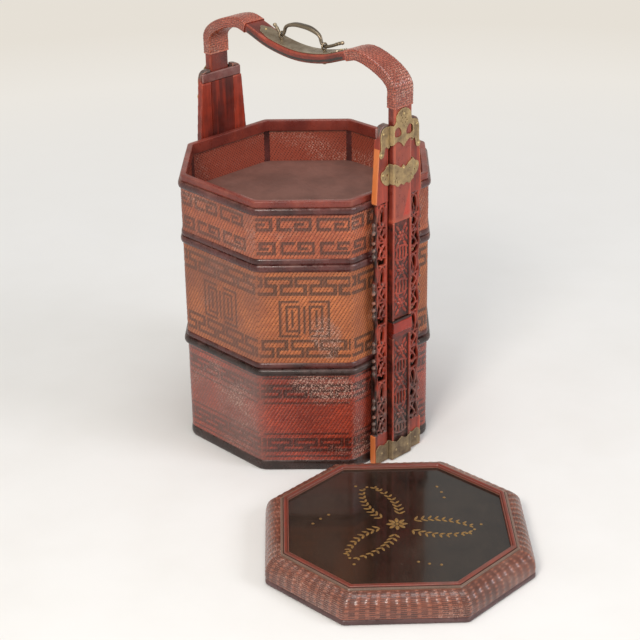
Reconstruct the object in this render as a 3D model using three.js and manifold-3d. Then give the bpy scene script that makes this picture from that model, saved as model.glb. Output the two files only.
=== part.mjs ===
// A tall eight-sided wedding basket: three woven trays that stack with collars, two carved uprights
// joined by a bentwood handle, a small swinging bail on the handle, and the lid lying beside it.
// Millimetres, +Z up. X runs from upright to upright, and the origin is the middle of the underside.
import * as THREE from 'three';
import { mergeVertices } from 'three/addons/utils/BufferGeometryUtils.js';
import Module from 'manifold-3d';

const wasm = await Module();
wasm.setup();

// Plan of the trays
const ACROSS = 350; // across the two facets that face the uprights
const MAIN_FACET = 158.6; // length of those facets and of the two square to them
const SEAT_GAP = 0.3; // between pieces that touch

// Trays, heights from the underside of one tray to the top of its shoulder rail
const BOTTOM_TRAY = 167;
const MIDDLE_TRAY = 162;
const TOP_TRAY = 84.7;
const BASE_BAND = 16;
const LOWER_RAIL = 9;
const SHOULDER_RAIL = 10;
const LIP = 9.4; // the part of a tray that stands above its shoulder
const WALL_INSET = 1; // woven wall behind the reference outline
const WALL_THICKNESS = 5;
const BASE_PROUD = 0.5;
const RAIL_PROUD = 1;
const SHOULDER_PROUD = 2.5;
const BOTTOM_SHOULDER_PROUD = 4.5;
const RAIL_ROUND = 2.5;
const COLLAR_THICKNESS = 6;
const COLLAR_SLACK = 1.2; // sideways play of a tray on the collar below
const COLLAR_BELOW_SHOULDER = 8;
const RIM_WIDTH = 8.5; // flat top of the open tray
const RIM_INSET = 1.5;
const INNER_RAIL_DEPTH = 17; // plain band inside the open tray
const FLOOR_THICKNESS = 7;
const FLOOR_RAISE = 20; // underside of a floor board above the tray's lower edge
const LEDGE_DEPTH = 6.7;
const LEDGE_WIDTH = 11;
const BATTEN_LEG = 5; // each side of the strip in an inside corner

// Uprights
const UPRIGHT_ABOVE_RIM = 101;
const WING_THICKNESS = 10.5;
const BACK_BOARD = 4.2;
const CLEAT_HALF = 42;
const CHANNEL_GAP = 3; // each side of the carved boards
const WING_TOP_HALF = 39;
const WING_MID_HALF = 46;
const WING_FOOT_HALF = 49;
const WING_TOP_ROUND = 12;
const PLAIN_ABOVE_RIM = -10; // openwork ends this far from the rim, minus is below it
const FOOT_BLOCK = 46; // plain wood at the foot of a wing
const SCROLLS = 8; // openwork units on a wing
const SCROLL_WAVE = 2; // in and out of the scrolled edge
const SCROLL_BORDER = 5;
const STRIP_HEIGHT = 14;
const CENTRE_PROUD = 1; // carved boards past the handle's width, each side
const CENTRE_BORDER = 4;
const CENTRE_RECESS = 3.5;
const SEPARATOR_Z = 200;
const SEPARATOR_HEIGHT = 28;
const SEPARATOR_PROUD = 2;
const PEG_RADIUS = 3.2;
const PEG_LENGTH = 14;

// Bentwood handle
const HANDLE_WIDTH = 36;
const HANDLE_THICKNESS = 13;
const HANDLE_ROUND = 2;
const HAND_SPACE = 183; // rim of the open tray to the middle of the wood at the humps
const LEG_BELOW_RIM = 44;
const HUMP_INSET = 65; // from the leg to the highest place
const DIP = 26;
const SHOULDER_DROP = 16;
const SHOULDER_INSET = 17;
const LEG_BEND_DROP = 50;
const WRAP_THICKNESS = 1.2;
const WRAP_START = 103; // from the middle of the handle
const WRAP_DROP = 61; // lower end of the cane below the hump

// Brass and bail
const BRASS = 1.2;
const BUTTERFLY_RISE = 26; // middle of the butterfly plate above the rim
const SADDLE_HALF_LENGTH = 88;
const SADDLE_HALF_WIDTH = 14;
const SADDLE_LOBE = 11.5; // radius of the lobed ends
const POST_SPACING = 88;
const POST_RADIUS = 2.4;
const POST_HOLE_CLEARANCE = 0.3;
const EYE_RADIUS = 4.5;
const EYE_WIRE = 1.5;
const BAIL_THICKNESS = 4.5;
const BAIL_BREADTH = 10; // of the strap at the top of the bow
const BAIL_END_RADIUS = 2.3;
const BAIL_PIVOT_RISE = 8.5; // above the wood at the post
const BAIL_HEIGHT = 22;
const BAIL_TAIL_RISE = 12;
const BAIL_BACK_TAIL = 14; // how far the curled ends reach past the posts
const BAIL_FRONT_TAIL = 36;
const BAIL_KNOB = 3.2;
const CAP_EYE = 4.2; // radius of the two holes in a cap plate
const NAIL_HEAD = 1.7;
const NAIL_SHANK = 0.7;
const NAIL_HOLE = 1;
const NAIL_LENGTH = 5;

// Lid, lying on the floor
const LID_FIT = 0.8; // play round the lip of the open tray
const LID_RIM_THICKNESS = 4.9;
const LID_RIM_HEIGHT = 8;
const LID_HEIGHT = 43;
const LID_SKIRT_THICKNESS = 4;
const LID_SKIRT_REACH = 14; // sideways run of the domed skirt
const MOULDING_WIDTH = 16.4;
const MOULDING_HEIGHT = 4.7;
const PANEL_THICKNESS = 6;
const LID_STANDOFF = 61; // more than the width of the basket, middle to middle
const LID_DIRECTION = THREE.MathUtils.degToRad(-27.06);
const LID_TURN = THREE.MathUtils.degToRad(47.2);

// Places worked out from the values above
const HALF = ACROSS / 2;
const HALF_DIAGONAL = (HALF + MAIN_FACET / 2) / Math.SQRT2;
const MIDDLE_Z = BOTTOM_TRAY + SEAT_GAP;
const TOP_Z = MIDDLE_Z + MIDDLE_TRAY + SEAT_GAP;
const RIM_Z = TOP_Z + TOP_TRAY + SEAT_GAP + LIP;
const WALL_INNER = -WALL_INSET - WALL_THICKNESS;
const LEDGE_LOW = FLOOR_RAISE - SEAT_GAP - LEDGE_DEPTH;
const UPRIGHT_IN = HALF + BOTTOM_SHOULDER_PROUD + SEAT_GAP;
const WING_FRONT = UPRIGHT_IN + WING_THICKNESS;
const LEG_IN = UPRIGHT_IN + BACK_BOARD + SEAT_GAP;
const LEG_FRONT = LEG_IN + HANDLE_THICKNESS;
const LEG_X = (LEG_IN + LEG_FRONT) / 2;
const UPRIGHT_TOP = RIM_Z + UPRIGHT_ABOVE_RIM;
const LEG_END = RIM_Z - LEG_BELOW_RIM;
const ARCH_TOP = RIM_Z + HAND_SPACE;
const OPENWORK_TOP = RIM_Z + PLAIN_ABOVE_RIM;
const CENTRE_HALF = HANDLE_WIDTH / 2 + CENTRE_PROUD;
const CHANNEL_HALF = CENTRE_HALF + CHANNEL_GAP; // middle of the upright to the wing

// Materials
const finish = (color, roughness, metalness = 0) =>
  new THREE.MeshStandardMaterial({ color, roughness, metalness });
const redLacquer = finish('#7a2a20', 0.45);
const brightLacquer = finish('#9c2f20', 0.4);
const brownLacquer = finish('#5b2a26', 0.42);
const darkLacquer = finish('#3a2d28', 0.5);
const orangeWeave = finish('#9d4a26', 0.7);
const paleWeave = finish('#a85c2c', 0.7);
const redWeave = finish('#843524', 0.7);
const lidWeave = finish('#8b4530', 0.6);
const floorWood = finish('#6d4d42', 0.65);
const blackLacquer = finish('#1c1815', 0.18);
const cane = finish('#93402c', 0.5);
const agedBrass = finish('#8f8054', 0.5, 0.9);
const bronze = finish('#4a4036', 0.45, 0.9);

// Solids
function toSolid(geometry) {
  const bare = geometry.clone();
  bare.deleteAttribute('normal');
  bare.deleteAttribute('uv');
  const merged = mergeVertices(bare);
  const vertProperties = merged.attributes.position.array;
  return new wasm.Manifold(new wasm.Mesh({ numProp: 3, vertProperties, triVerts: merged.index.array }));
}

function toGeometry(solid) {
  const { vertProperties, triVerts } = solid.getMesh();
  const geometry = new THREE.BufferGeometry();
  geometry.setAttribute('position', new THREE.BufferAttribute(new Float32Array(vertProperties), 3));
  geometry.setIndex(new THREE.BufferAttribute(new Uint32Array(triVerts), 1));
  return geometry;
}

const cut = (geometry, tools) =>
  toGeometry(tools.reduce((left, tool) => left.subtract(toSolid(tool)), toSolid(geometry)));
const join = (geometries) => toGeometry(geometries.map(toSolid).reduce((all, one) => all.add(one)));
const common = (a, b) => toGeometry(toSolid(a).intersect(toSolid(b)));

function shapeOf(points, holes = []) {
  const shape = new THREE.Shape(points.map(([u, v]) => new THREE.Vector2(u, v)));
  for (const hole of holes) {
    shape.holes.push(new THREE.Path(hole.map(([u, v]) => new THREE.Vector2(u, v))));
  }
  return shape;
}

// Straight prisms: an outline in x,y raised along z, in y,z pushed along x, or in x,z pushed along y
function slab(points, from, to, holes) {
  const options = { depth: to - from, bevelEnabled: false };
  return new THREE.ExtrudeGeometry(shapeOf(points, holes), options).translate(0, 0, from);
}

function slabX(points, from, to, holes) {
  const turn = new THREE.Matrix4().makeBasis(
    new THREE.Vector3(0, 1, 0), new THREE.Vector3(0, 0, 1), new THREE.Vector3(1, 0, 0));
  return slab(points, from, to, holes).applyMatrix4(turn);
}

const slabY = (points, half) => slab(points, -half, half).rotateX(Math.PI / 2);

const rectangle = (u0, v0, u1, v1) => [[u0, v0], [u1, v0], [u1, v1], [u0, v1]];

function rodX(radius, from, to, sides = 10) {
  return new THREE.CylinderGeometry(radius, radius, to - from, sides)
    .rotateZ(-Math.PI / 2).translate((from + to) / 2, 0, 0);
}

// The octagon: offset is how far its sides stand out from the reference outline
function octagon(offset) {
  const main = HALF + offset;
  const short = (HALF_DIAGONAL + offset) * Math.SQRT2 - main;
  return [[main, -short], [main, short], [short, main], [-short, main],
    [-main, short], [-main, -short], [-short, -main], [short, -main]];
}

// A ring round the octagon from its section, a list of [offset, z] that runs anticlockwise
function ring(section) {
  const loops = section.map(([offset, z]) => octagon(offset).map(([x, y]) => [x, y, z]));
  const position = [];
  for (let i = 0; i < loops.length; i += 1) {
    const [a, b] = [loops[i], loops[(i + 1) % loops.length]];
    for (let k = 0; k < 8; k += 1) {
      const next = (k + 1) % 8;
      position.push(...a[k], ...a[next], ...b[next], ...a[k], ...b[next], ...b[k]);
    }
  }
  const geometry = new THREE.BufferGeometry();
  geometry.setAttribute('position', new THREE.Float32BufferAttribute(position, 3));
  return mergeVertices(geometry);
}

const squareRing = (inner, outer, low, high) => ring(rectangle(inner, low, outer, high));

const roundedRing = (inner, outer, low, high, round = RAIL_ROUND) => ring([
  [inner, low], [outer - round, low], [outer, low + round],
  [outer, high - round], [outer - round, high], [inner, high]]);

function addPiece(group, name, geometry, material) {
  const piece = new THREE.Mesh(geometry, material);
  piece.name = name;
  group.add(piece);
}

// Upright strips in the eight inside corners of a tray
function cornerStrips(edge, leg, low, high) {
  const corners = octagon(edge);
  return corners.map(([x, y], k) => {
    const along = ([px, py]) => {
      const share = leg / Math.hypot(px - x, py - y);
      return [x + (px - x) * share, y + (py - y) * share];
    };
    return slab([[x, y], along(corners[(k + 1) % 8]), along(corners[(k + 7) % 8])], low, high);
  });
}

// What every tray has inside: a floor board, and a frame of a ledge with a strip in each corner
function trayInside(group, name, floorUnderside, ledgeLow, stripTop) {
  const edge = WALL_INNER - SEAT_GAP;
  const ledge = squareRing(edge - LEDGE_WIDTH, edge, ledgeLow, ledgeLow + LEDGE_DEPTH);
  const strips = cornerStrips(edge, BATTEN_LEG, ledgeLow, stripTop - SEAT_GAP);
  addPiece(group, `${name}_inner_frame`, join([ledge, ...strips]), brownLacquer);
  const clearance = 2.5 * SEAT_GAP;
  const notches = cornerStrips(edge, BATTEN_LEG + clearance, 0, floorUnderside + 2 * FLOOR_THICKNESS);
  const board = slab(octagon(edge), floorUnderside, floorUnderside + FLOOR_THICKNESS);
  addPiece(group, `${name}_floor_board`, cut(board, notches), floorWood);
}

// The collar that stands above a shoulder and centres the tray above
function collar(shoulderTop) {
  const outer = WALL_INNER - SEAT_GAP;
  const inner = outer - COLLAR_THICKNESS;
  const low = shoulderTop - SHOULDER_RAIL - COLLAR_BELOW_SHOULDER;
  return ring([[inner, low], [outer, low], [outer, shoulderTop],
    [outer - COLLAR_SLACK, shoulderTop + COLLAR_SLACK],
    [outer - COLLAR_SLACK, shoulderTop + LIP], [inner, shoulderTop + LIP]]);
}

const collarBottom = (shoulderTop) => shoulderTop - SHOULDER_RAIL - COLLAR_BELOW_SHOULDER;

// Pegs that fix an upright to the bottom tray, at the base band and at the shoulder
const PEG_HEIGHTS = [BASE_BAND / 2, BOTTOM_TRAY - SHOULDER_RAIL / 2];
const PEG_END = UPRIGHT_IN + BACK_BOARD;

const peg = (z, spare) =>
  rodX(PEG_RADIUS + spare, PEG_END - PEG_LENGTH - spare, PEG_END + spare, 12).translate(0, 0, z);

const pegHoles = () => PEG_HEIGHTS.map((z) => peg(z, SEAT_GAP));

const pegHolesOnBothSides = () => [...pegHoles(), ...pegHoles().map((hole) => hole.rotateZ(Math.PI))];

function bottomTray() {
  const group = new THREE.Group();
  const wallTop = BOTTOM_TRAY - SHOULDER_RAIL;
  addPiece(group, 'base_band',
    cut(roundedRing(WALL_INNER, BASE_PROUD, 0, BASE_BAND), pegHolesOnBothSides()), darkLacquer);
  addPiece(group, 'bottom_woven_wall',
    squareRing(WALL_INNER, -WALL_INSET, BASE_BAND + SEAT_GAP, wallTop - SEAT_GAP), redWeave);
  const shoulder = roundedRing(WALL_INNER, BOTTOM_SHOULDER_PROUD, wallTop, BOTTOM_TRAY);
  addPiece(group, 'bottom_shoulder_rail', cut(shoulder, pegHolesOnBothSides()), darkLacquer);
  addPiece(group, 'bottom_collar', collar(BOTTOM_TRAY), redLacquer);
  trayInside(group, 'bottom', 0, FLOOR_THICKNESS + SEAT_GAP, collarBottom(BOTTOM_TRAY));
  return group;
}

function middleTray() {
  const group = new THREE.Group();
  group.position.z = MIDDLE_Z;
  const wallTop = MIDDLE_TRAY - SHOULDER_RAIL;
  addPiece(group, 'middle_lower_rail', roundedRing(WALL_INNER, RAIL_PROUD, 0, LOWER_RAIL), brownLacquer);
  addPiece(group, 'middle_woven_wall',
    squareRing(WALL_INNER, -WALL_INSET, LOWER_RAIL + SEAT_GAP, wallTop - SEAT_GAP), paleWeave);
  addPiece(group, 'middle_shoulder_rail',
    roundedRing(WALL_INNER, SHOULDER_PROUD, wallTop, MIDDLE_TRAY), brownLacquer);
  addPiece(group, 'middle_collar', collar(MIDDLE_TRAY), redLacquer);
  trayInside(group, 'middle', FLOOR_RAISE, LEDGE_LOW, collarBottom(MIDDLE_TRAY));
  return group;
}

// The open tray ends in a rim that the lid drops over, with a plain band inside
function topTray() {
  const group = new THREE.Group();
  group.position.z = TOP_Z;
  const wallTop = TOP_TRAY - SHOULDER_RAIL;
  const rimLow = TOP_TRAY + SEAT_GAP;
  const rimTop = rimLow + LIP;
  const rimInner = -RIM_INSET - RIM_WIDTH;
  const behindWall = WALL_INNER - SEAT_GAP;
  addPiece(group, 'top_lower_rail', roundedRing(WALL_INNER, RAIL_PROUD, 0, LOWER_RAIL), brownLacquer);
  addPiece(group, 'top_woven_wall',
    squareRing(WALL_INNER, -WALL_INSET, LOWER_RAIL + SEAT_GAP, wallTop - SEAT_GAP), orangeWeave);
  addPiece(group, 'top_shoulder_rail',
    roundedRing(WALL_INNER, SHOULDER_PROUD, wallTop, TOP_TRAY), brownLacquer);
  addPiece(group, 'top_rim', ring([
    [rimInner, rimTop - INNER_RAIL_DEPTH], [behindWall, rimTop - INNER_RAIL_DEPTH],
    [behindWall, rimLow], [-RIM_INSET, rimLow], [-RIM_INSET, rimTop], [rimInner, rimTop]]), redLacquer);
  trayInside(group, 'top', FLOOR_RAISE, LEDGE_LOW, rimTop - INNER_RAIL_DEPTH);
  return group;
}

// Middle line of the handle, in x and z, from one leg end to the other
function handleLine(steps = 12) {
  const bend = ARCH_TOP - LEG_BEND_DROP;
  const hump = LEG_X - HUMP_INSET;
  const half = [
    [0, ARCH_TOP - DIP], [hump * 0.45, ARCH_TOP - DIP * 0.74], [hump * 0.8, ARCH_TOP - DIP * 0.2],
    [hump, ARCH_TOP], [LEG_X - SHOULDER_INSET, ARCH_TOP - SHOULDER_DROP],
    [LEG_X - 1, (ARCH_TOP + bend) / 2 - 6], [LEG_X, bend]];
  const points = [...half.slice(1).reverse().map(([x, z]) => [-x, z]), ...half];
  const curve = new THREE.CatmullRomCurve3(points.map(([x, z]) => new THREE.Vector3(x, 0, z)));
  const arch = curve.getPoints(steps * 4).map(({ x, z }) => [x, z]);
  return [[-LEG_X, LEG_END], ...arch, [LEG_X, LEG_END]];
}

// The line moved sideways: plus is up and outwards
function beside(line, distance) {
  return line.map(([x, z], i) => {
    const [px, pz] = line[Math.max(i - 1, 0)];
    const [nx, nz] = line[Math.min(i + 1, line.length - 1)];
    const length = Math.hypot(nx - px, nz - pz);
    return [x - ((nz - pz) / length) * distance, z + ((nx - px) / length) * distance];
  });
}

const band = (line, below, above) => [...beside(line, below), ...beside(line, above).reverse()];

function handleTopAt(x) {
  const line = handleLine();
  const i = line.findIndex(([px]) => px > x);
  const [[x0, z0], [x1, z1]] = [line[i - 1], line[i]];
  const z = z0 + ((z1 - z0) * (x - x0)) / (x1 - x0);
  const slope = Math.atan2(z1 - z0, x1 - x0);
  return { z: z + HANDLE_THICKNESS / 2 / Math.cos(slope), slope };
}

// Points given in shares of a wing's half width, set at a height
const inShares = (points, half, z) => points.map(([y, rise]) => [y * half, z + rise * half]);

// Nails: [across, height] on the face of an upright, and [along, across] on the saddle plate
const BUTTERFLY_Z = RIM_Z + BUTTERFLY_RISE;
const WING_NAILS = [
  ...inShares([[0.95, -1.05], [0.85, -0.3]], WING_TOP_HALF, UPRIGHT_TOP),
  ...inShares([[0.87, 0.1]], WING_TOP_HALF, BUTTERFLY_Z),
  ...inShares([[0.73, 0.33]], WING_FOOT_HALF, 0)];
const LEG_NAILS = [
  ...inShares([[0, 0.31]], WING_TOP_HALF, UPRIGHT_TOP),
  ...inShares([[0, 0.31]], WING_TOP_HALF, BUTTERFLY_Z)];
const FOOT_NAILS = inShares([[-0.25, 0.33], [0.25, 0.33]], WING_FOOT_HALF, 0);
const SADDLE_NAILS = [-1, 1].map((side) => [side * (SADDLE_HALF_LENGTH - 10), 0]);

const bothWays = (places) => places.flatMap(([y, z]) => [[-y, z], [y, z]]);

const onWings = (places, make) => bothWays(places).map(([y, z]) => make(WING_FRONT).translate(0, y, z));
const onMiddle = (places, make) => places.map(([y, z]) => make(LEG_FRONT).translate(0, y, z));

const nailHoles = () =>
  [...onWings(WING_NAILS, nailHole), ...onMiddle([...LEG_NAILS, ...FOOT_NAILS], nailHole)];

const nailHole = (face) => rodX(NAIL_HOLE, face - NAIL_LENGTH - 1, face + 2 * BRASS, 8);

// Shank and domed head, pointing outwards along x, for a plate that lies on the face
function nail(face, lift = 0) {
  const plate = SEAT_GAP + BRASS + lift;
  const head = NAIL_LENGTH + plate;
  const profile = [[0, 0], [NAIL_SHANK, 0], [NAIL_SHANK, head], [NAIL_HEAD, head],
    [NAIL_HEAD * 0.8, head + 0.7], [0, head + 1.1]];
  return new THREE.LatheGeometry(profile.map(([r, h]) => new THREE.Vector2(r, h)), 8)
    .rotateZ(-Math.PI / 2).translate(face - NAIL_LENGTH, 0, 0);
}

const handleNailHoles = () => [0, Math.PI].flatMap((turn) =>
  onMiddle(LEG_NAILS, nailHole).map((hole) => hole.rotateZ(turn)));

function saddleNails(make) {
  return SADDLE_NAILS.map(([x, y]) => {
    const { z, slope } = handleTopAt(x);
    return make().rotateY(-Math.PI / 2).rotateY(-slope).translate(x, y, z);
  });
}

const POSTS = [-POST_SPACING / 2, POST_SPACING / 2];

function postHoles(radius) {
  return POSTS.map((x) => new THREE.CylinderGeometry(radius, radius, 6 * HANDLE_THICKNESS, 12)
    .rotateX(Math.PI / 2).translate(x, 0, handleTopAt(x).z));
}

function handle(group) {
  const line = handleLine();
  const outline = band(line, -HANDLE_THICKNESS / 2, HANDLE_THICKNESS / 2);
  const bent = new THREE.ExtrudeGeometry(shapeOf(outline), {
    depth: HANDLE_WIDTH - 2 * HANDLE_ROUND, bevelThickness: HANDLE_ROUND, bevelSize: HANDLE_ROUND,
    bevelOffset: -HANDLE_ROUND, bevelSegments: 1,
  }).translate(0, 0, HANDLE_ROUND - HANDLE_WIDTH / 2).rotateX(Math.PI / 2);
  const postBores = postHoles(POST_RADIUS + POST_HOLE_CLEARANCE);
  const nailBores = [...handleNailHoles(), ...saddleNails(() => nailHole(0))];
  addPiece(group, 'bentwood_handle', cut(bent, [...postBores, ...nailBores]), redLacquer);

  const inner = HANDLE_THICKNESS / 2 + SEAT_GAP;
  const outer = inner + WRAP_THICKNESS;
  const skin = slabY(band(line, -outer, outer), HANDLE_WIDTH / 2 + SEAT_GAP + WRAP_THICKNESS);
  const bore = slabY(band(line, -inner, inner), HANDLE_WIDTH / 2 + SEAT_GAP);
  const reach = slabY(rectangle(WRAP_START, ARCH_TOP - WRAP_DROP, 2 * HALF, ARCH_TOP * 2), HALF);
  const wrap = common(cut(skin, [bore]), reach);
  addPiece(group, 'front_cane_wrap', wrap, cane);
  addPiece(group, 'back_cane_wrap', wrap.clone().rotateZ(Math.PI), cane);

  const plan = [];
  for (const end of [1, -1]) {
    for (let i = 0; i <= 8; i += 1) {
      const turn = -Math.PI / 2 + (Math.PI * i) / 8;
      const lobe = SADDLE_LOBE * (0.87 + 0.13 * Math.cos(4 * turn));
      const along = SADDLE_HALF_LENGTH - SADDLE_LOBE + lobe * Math.cos(turn);
      plan.push([end * along, end * lobe * Math.sin(turn)]);
    }
    const waist = SADDLE_HALF_LENGTH - 2.6 * SADDLE_LOBE;
    plan.push([end * waist, end * SADDLE_HALF_WIDTH], [-end * waist, end * SADDLE_HALF_WIDTH]);
  }
  const low = HANDLE_THICKNESS / 2 + SEAT_GAP;
  const under = line.filter(([x]) => Math.abs(x) < SADDLE_HALF_LENGTH + 12);
  const sheet = slabY(band(under, low, low + BRASS), HANDLE_WIDTH / 2);
  const saddle = common(sheet, slab(plan, 0, 2 * ARCH_TOP));
  addPiece(group, 'saddle_plate', cut(saddle, [...postBores, ...saddleNails(() => nailHole(0))]), agedBrass);
  saddleNails(() => nail(0, SEAT_GAP)).forEach((one, i) =>
    addPiece(group, i ? 'saddle_front_nail' : 'saddle_back_nail', one, agedBrass));
}

const PIVOT_Z = handleTopAt(POST_SPACING / 2).z + BAIL_PIVOT_RISE;

// Eye posts go through the plate and the wood and are clinched below
function postsAndBail(root) {
  POSTS.forEach((x, i) => {
    const underside = handleTopAt(x).z - HANDLE_THICKNESS - 4;
    const stemTop = PIVOT_Z - EYE_RADIUS;
    const stem = new THREE.CylinderGeometry(POST_RADIUS, POST_RADIUS, stemTop - underside, 12)
      .rotateX(Math.PI / 2).translate(x, 0, (stemTop + underside) / 2);
    const eye = new THREE.TorusGeometry(EYE_RADIUS, EYE_WIRE, 8, 20)
      .rotateY(Math.PI / 2).translate(x, 0, PIVOT_Z);
    addPiece(root, i ? 'front_eye_post' : 'back_eye_post', join([stem, eye]), bronze);
  });
  const tail = (reach) => [[4, 0.4], [reach * 0.45, BAIL_TAIL_RISE * 0.35],
    [reach * 0.8, BAIL_TAIL_RISE * 0.8], [reach, BAIL_TAIL_RISE]];
  const foot = POST_SPACING / 2;
  const bow = [[0, BAIL_HEIGHT], [foot * 0.42, BAIL_HEIGHT * 0.93], [foot * 0.78, BAIL_HEIGHT * 0.62],
    [foot - 5.5, BAIL_HEIGHT * 0.2], [foot - 2.5, 0.6], [foot, 0]];
  const front = [...bow, ...tail(BAIL_FRONT_TAIL).map(([x, z]) => [foot + x, z])];
  const back = [...bow.slice(1), ...tail(BAIL_BACK_TAIL).map(([x, z]) => [foot + x, z])]
    .map(([x, z]) => [-x, z]).reverse();
  const points = [...back, ...front].map(([x, z]) => new THREE.Vector3(x, 0, PIVOT_Z + z));
  const knobs = [points[0], points.at(-1)].map(({ x, z }) =>
    new THREE.SphereGeometry(BAIL_KNOB, 10, 6).translate(x, 0, z));
  addPiece(root, 'bail', join([bailBar(new THREE.CatmullRomCurve3(points), 72, 8), ...knobs]), bronze);
}

// A bar along a flat curve in x and z, round at the ends and broad and flat at the top of the arch
function bailBar(path, steps, sides) {
  const frames = [];
  for (let i = 0; i <= steps; i += 1) {
    const centre = path.getPointAt(i / steps);
    const along = path.getTangentAt(i / steps);
    const up = new THREE.Vector3(-along.z, 0, along.x);
    const strap = Math.exp(-((centre.x / (POST_SPACING * 0.36)) ** 4));
    const deep = BAIL_END_RADIUS + (BAIL_THICKNESS / 2 - BAIL_END_RADIUS) * strap;
    const broad = BAIL_END_RADIUS + (BAIL_BREADTH / 2 - BAIL_END_RADIUS) * strap;
    frames.push(Array.from({ length: sides }, (_, k) => {
      const turn = (2 * Math.PI * k) / sides;
      return centre.clone().addScaledVector(up, deep * Math.cos(turn))
        .add(new THREE.Vector3(0, broad * Math.sin(turn), 0));
    }));
  }
  const position = [];
  const triangle = (...corners) => corners.forEach((corner) => position.push(...corner.toArray()));
  for (let i = 0; i < steps; i += 1) {
    for (let k = 0; k < sides; k += 1) {
      const next = (k + 1) % sides;
      triangle(frames[i][k], frames[i + 1][k], frames[i + 1][next]);
      triangle(frames[i][k], frames[i + 1][next], frames[i][next]);
    }
  }
  for (let k = 1; k < sides - 1; k += 1) {
    triangle(frames[0][0], frames[0][k], frames[0][k + 1]);
    triangle(frames[steps][0], frames[steps][k + 1], frames[steps][k]);
  }
  const geometry = new THREE.BufferGeometry();
  geometry.setAttribute('position', new THREE.Float32BufferAttribute(position, 3));
  return mergeVertices(geometry);
}

// Outline of the wing on the +y side, in y and z, and its pierced scrolls
function wingOutline() {
  const outer = [[CHANNEL_HALF, 0], [WING_FOOT_HALF, 0], [WING_FOOT_HALF, FOOT_BLOCK]];
  const unit = (OPENWORK_TOP - FOOT_BLOCK) / SCROLLS;
  for (let i = 0; i < SCROLLS * 4; i += 1) {
    const wave = Math.cos((Math.PI * (i + 0.5)) / 2 + Math.PI / 4);
    outer.push([WING_FOOT_HALF - 1 + SCROLL_WAVE * wave, FOOT_BLOCK + (unit * (i + 0.5)) / 4]);
  }
  outer.push([WING_MID_HALF, OPENWORK_TOP], [WING_TOP_HALF, UPRIGHT_TOP - WING_TOP_ROUND]);
  for (let i = 1; i <= 4; i += 1) {
    const turn = (Math.PI * i) / 8;
    outer.push([WING_TOP_HALF - WING_TOP_ROUND * (1 - Math.cos(turn)),
      UPRIGHT_TOP - WING_TOP_ROUND * (1 - Math.sin(turn))]);
  }
  return [...outer, [CHANNEL_HALF, UPRIGHT_TOP]];
}

function oval(y, z, halfWidth, halfHeight, lean) {
  return Array.from({ length: 8 }, (_, k) => {
    const turn = (2 * Math.PI * k) / 8;
    const rise = halfHeight * Math.sin(turn);
    return [y + halfWidth * Math.cos(turn) + lean * rise, z + rise];
  });
}

function scrollHoles() {
  const unit = (OPENWORK_TOP - FOOT_BLOCK) / SCROLLS;
  const left = CHANNEL_HALF + SCROLL_BORDER;
  const right = WING_FOOT_HALF - SCROLL_WAVE - 4;
  const middle = (left + right) / 2;
  return Array.from({ length: SCROLLS }, (_, i) => {
    const low = FOOT_BLOCK + unit * i;
    const lean = i % 2 ? 0.12 : -0.12;
    return [oval(middle + (i % 2 ? 1.5 : -1.5), low + unit * 0.4, (right - left) * 0.3, unit * 0.27, lean),
      oval(middle + (i % 2 ? -2 : 2), low + unit * 0.86, (right - left) * 0.22, unit * 0.09, 0)];
  }).flat();
}

const mirrorY = (points) => points.map(([y, z]) => [-y, z]).reverse();

// A brass sheet that steps from the wings up to the middle of the upright, cut to an outline
function steppedBrass(outline, reach) {
  const back = WING_FRONT + SEAT_GAP;
  const front = LEG_FRONT + SEAT_GAP;
  const step = CENTRE_HALF + SEAT_GAP;
  const inside = [[back, -reach], [back, -step], [front, -step], [front, step], [back, step], [back, reach]];
  const outside = [[back + BRASS, reach], [back + BRASS, step + BRASS], [front + BRASS, step + BRASS],
    [front + BRASS, -step - BRASS], [back + BRASS, -step - BRASS], [back + BRASS, -reach]];
  const heights = outline.flat().map(([, z]) => z);
  const sheet = slab([...outside, ...inside].reverse(), Math.min(...heights) - 5, Math.max(...heights) + 5);
  const cookie = join(outline.map((points) => slabX(points, back - 5, front + 10)));
  return common(sheet, cookie);
}

const bothSides = (points) => [...points, ...mirrorY(points).filter(([y]) => y < 0)];

function capPlate() {
  const half = inShares([[0, -0.67], [0.13, -0.56], [0.31, -0.69], [0.49, -0.54], [0.64, -0.69],
    [0.79, -0.77], [0.85, -1.13], [0.97, -1.18], [1.04, -1.05], [0.97, -0.87], [0.97, -0.36],
    [0.87, -0.15], [0.72, -0.08], [0.54, -0.08], [0.38, 0.08], [0.37, 0.26], [0.23, 0.44],
    [0.08, 0.51], [0, 0.51]], WING_TOP_HALF, UPRIGHT_TOP);
  const plate = steppedBrass([bothSides(half)], WING_MID_HALF);
  const eyes = inShares([[-0.38, -0.33], [0.38, -0.33]], WING_TOP_HALF, UPRIGHT_TOP)
    .map(([y, z]) => rodX(CAP_EYE, LEG_IN, LEG_FRONT + 10, 12).translate(0, y, z));
  const nails = [...onWings(WING_NAILS.slice(0, 2), nail), ...onMiddle(LEG_NAILS.slice(0, 1), nail)];
  return join([cut(plate, eyes), ...nails]);
}

function butterflyPlate() {
  const half = inShares([[0, -0.41], [0.15, -0.31], [0.33, -0.44], [0.51, -0.31], [0.69, -0.26],
    [0.85, -0.15], [0.97, 0.08], [0.9, 0.23], [0.74, 0.26], [0.64, 0.38], [0.46, 0.36], [0.31, 0.46],
    [0.15, 0.38], [0, 0.46]], WING_TOP_HALF, BUTTERFLY_Z);
  const nails = [...onWings(WING_NAILS.slice(2, 3), nail), ...onMiddle(LEG_NAILS.slice(1), nail)];
  return join([steppedBrass([bothSides(half)], WING_MID_HALF), ...nails]);
}

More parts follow.
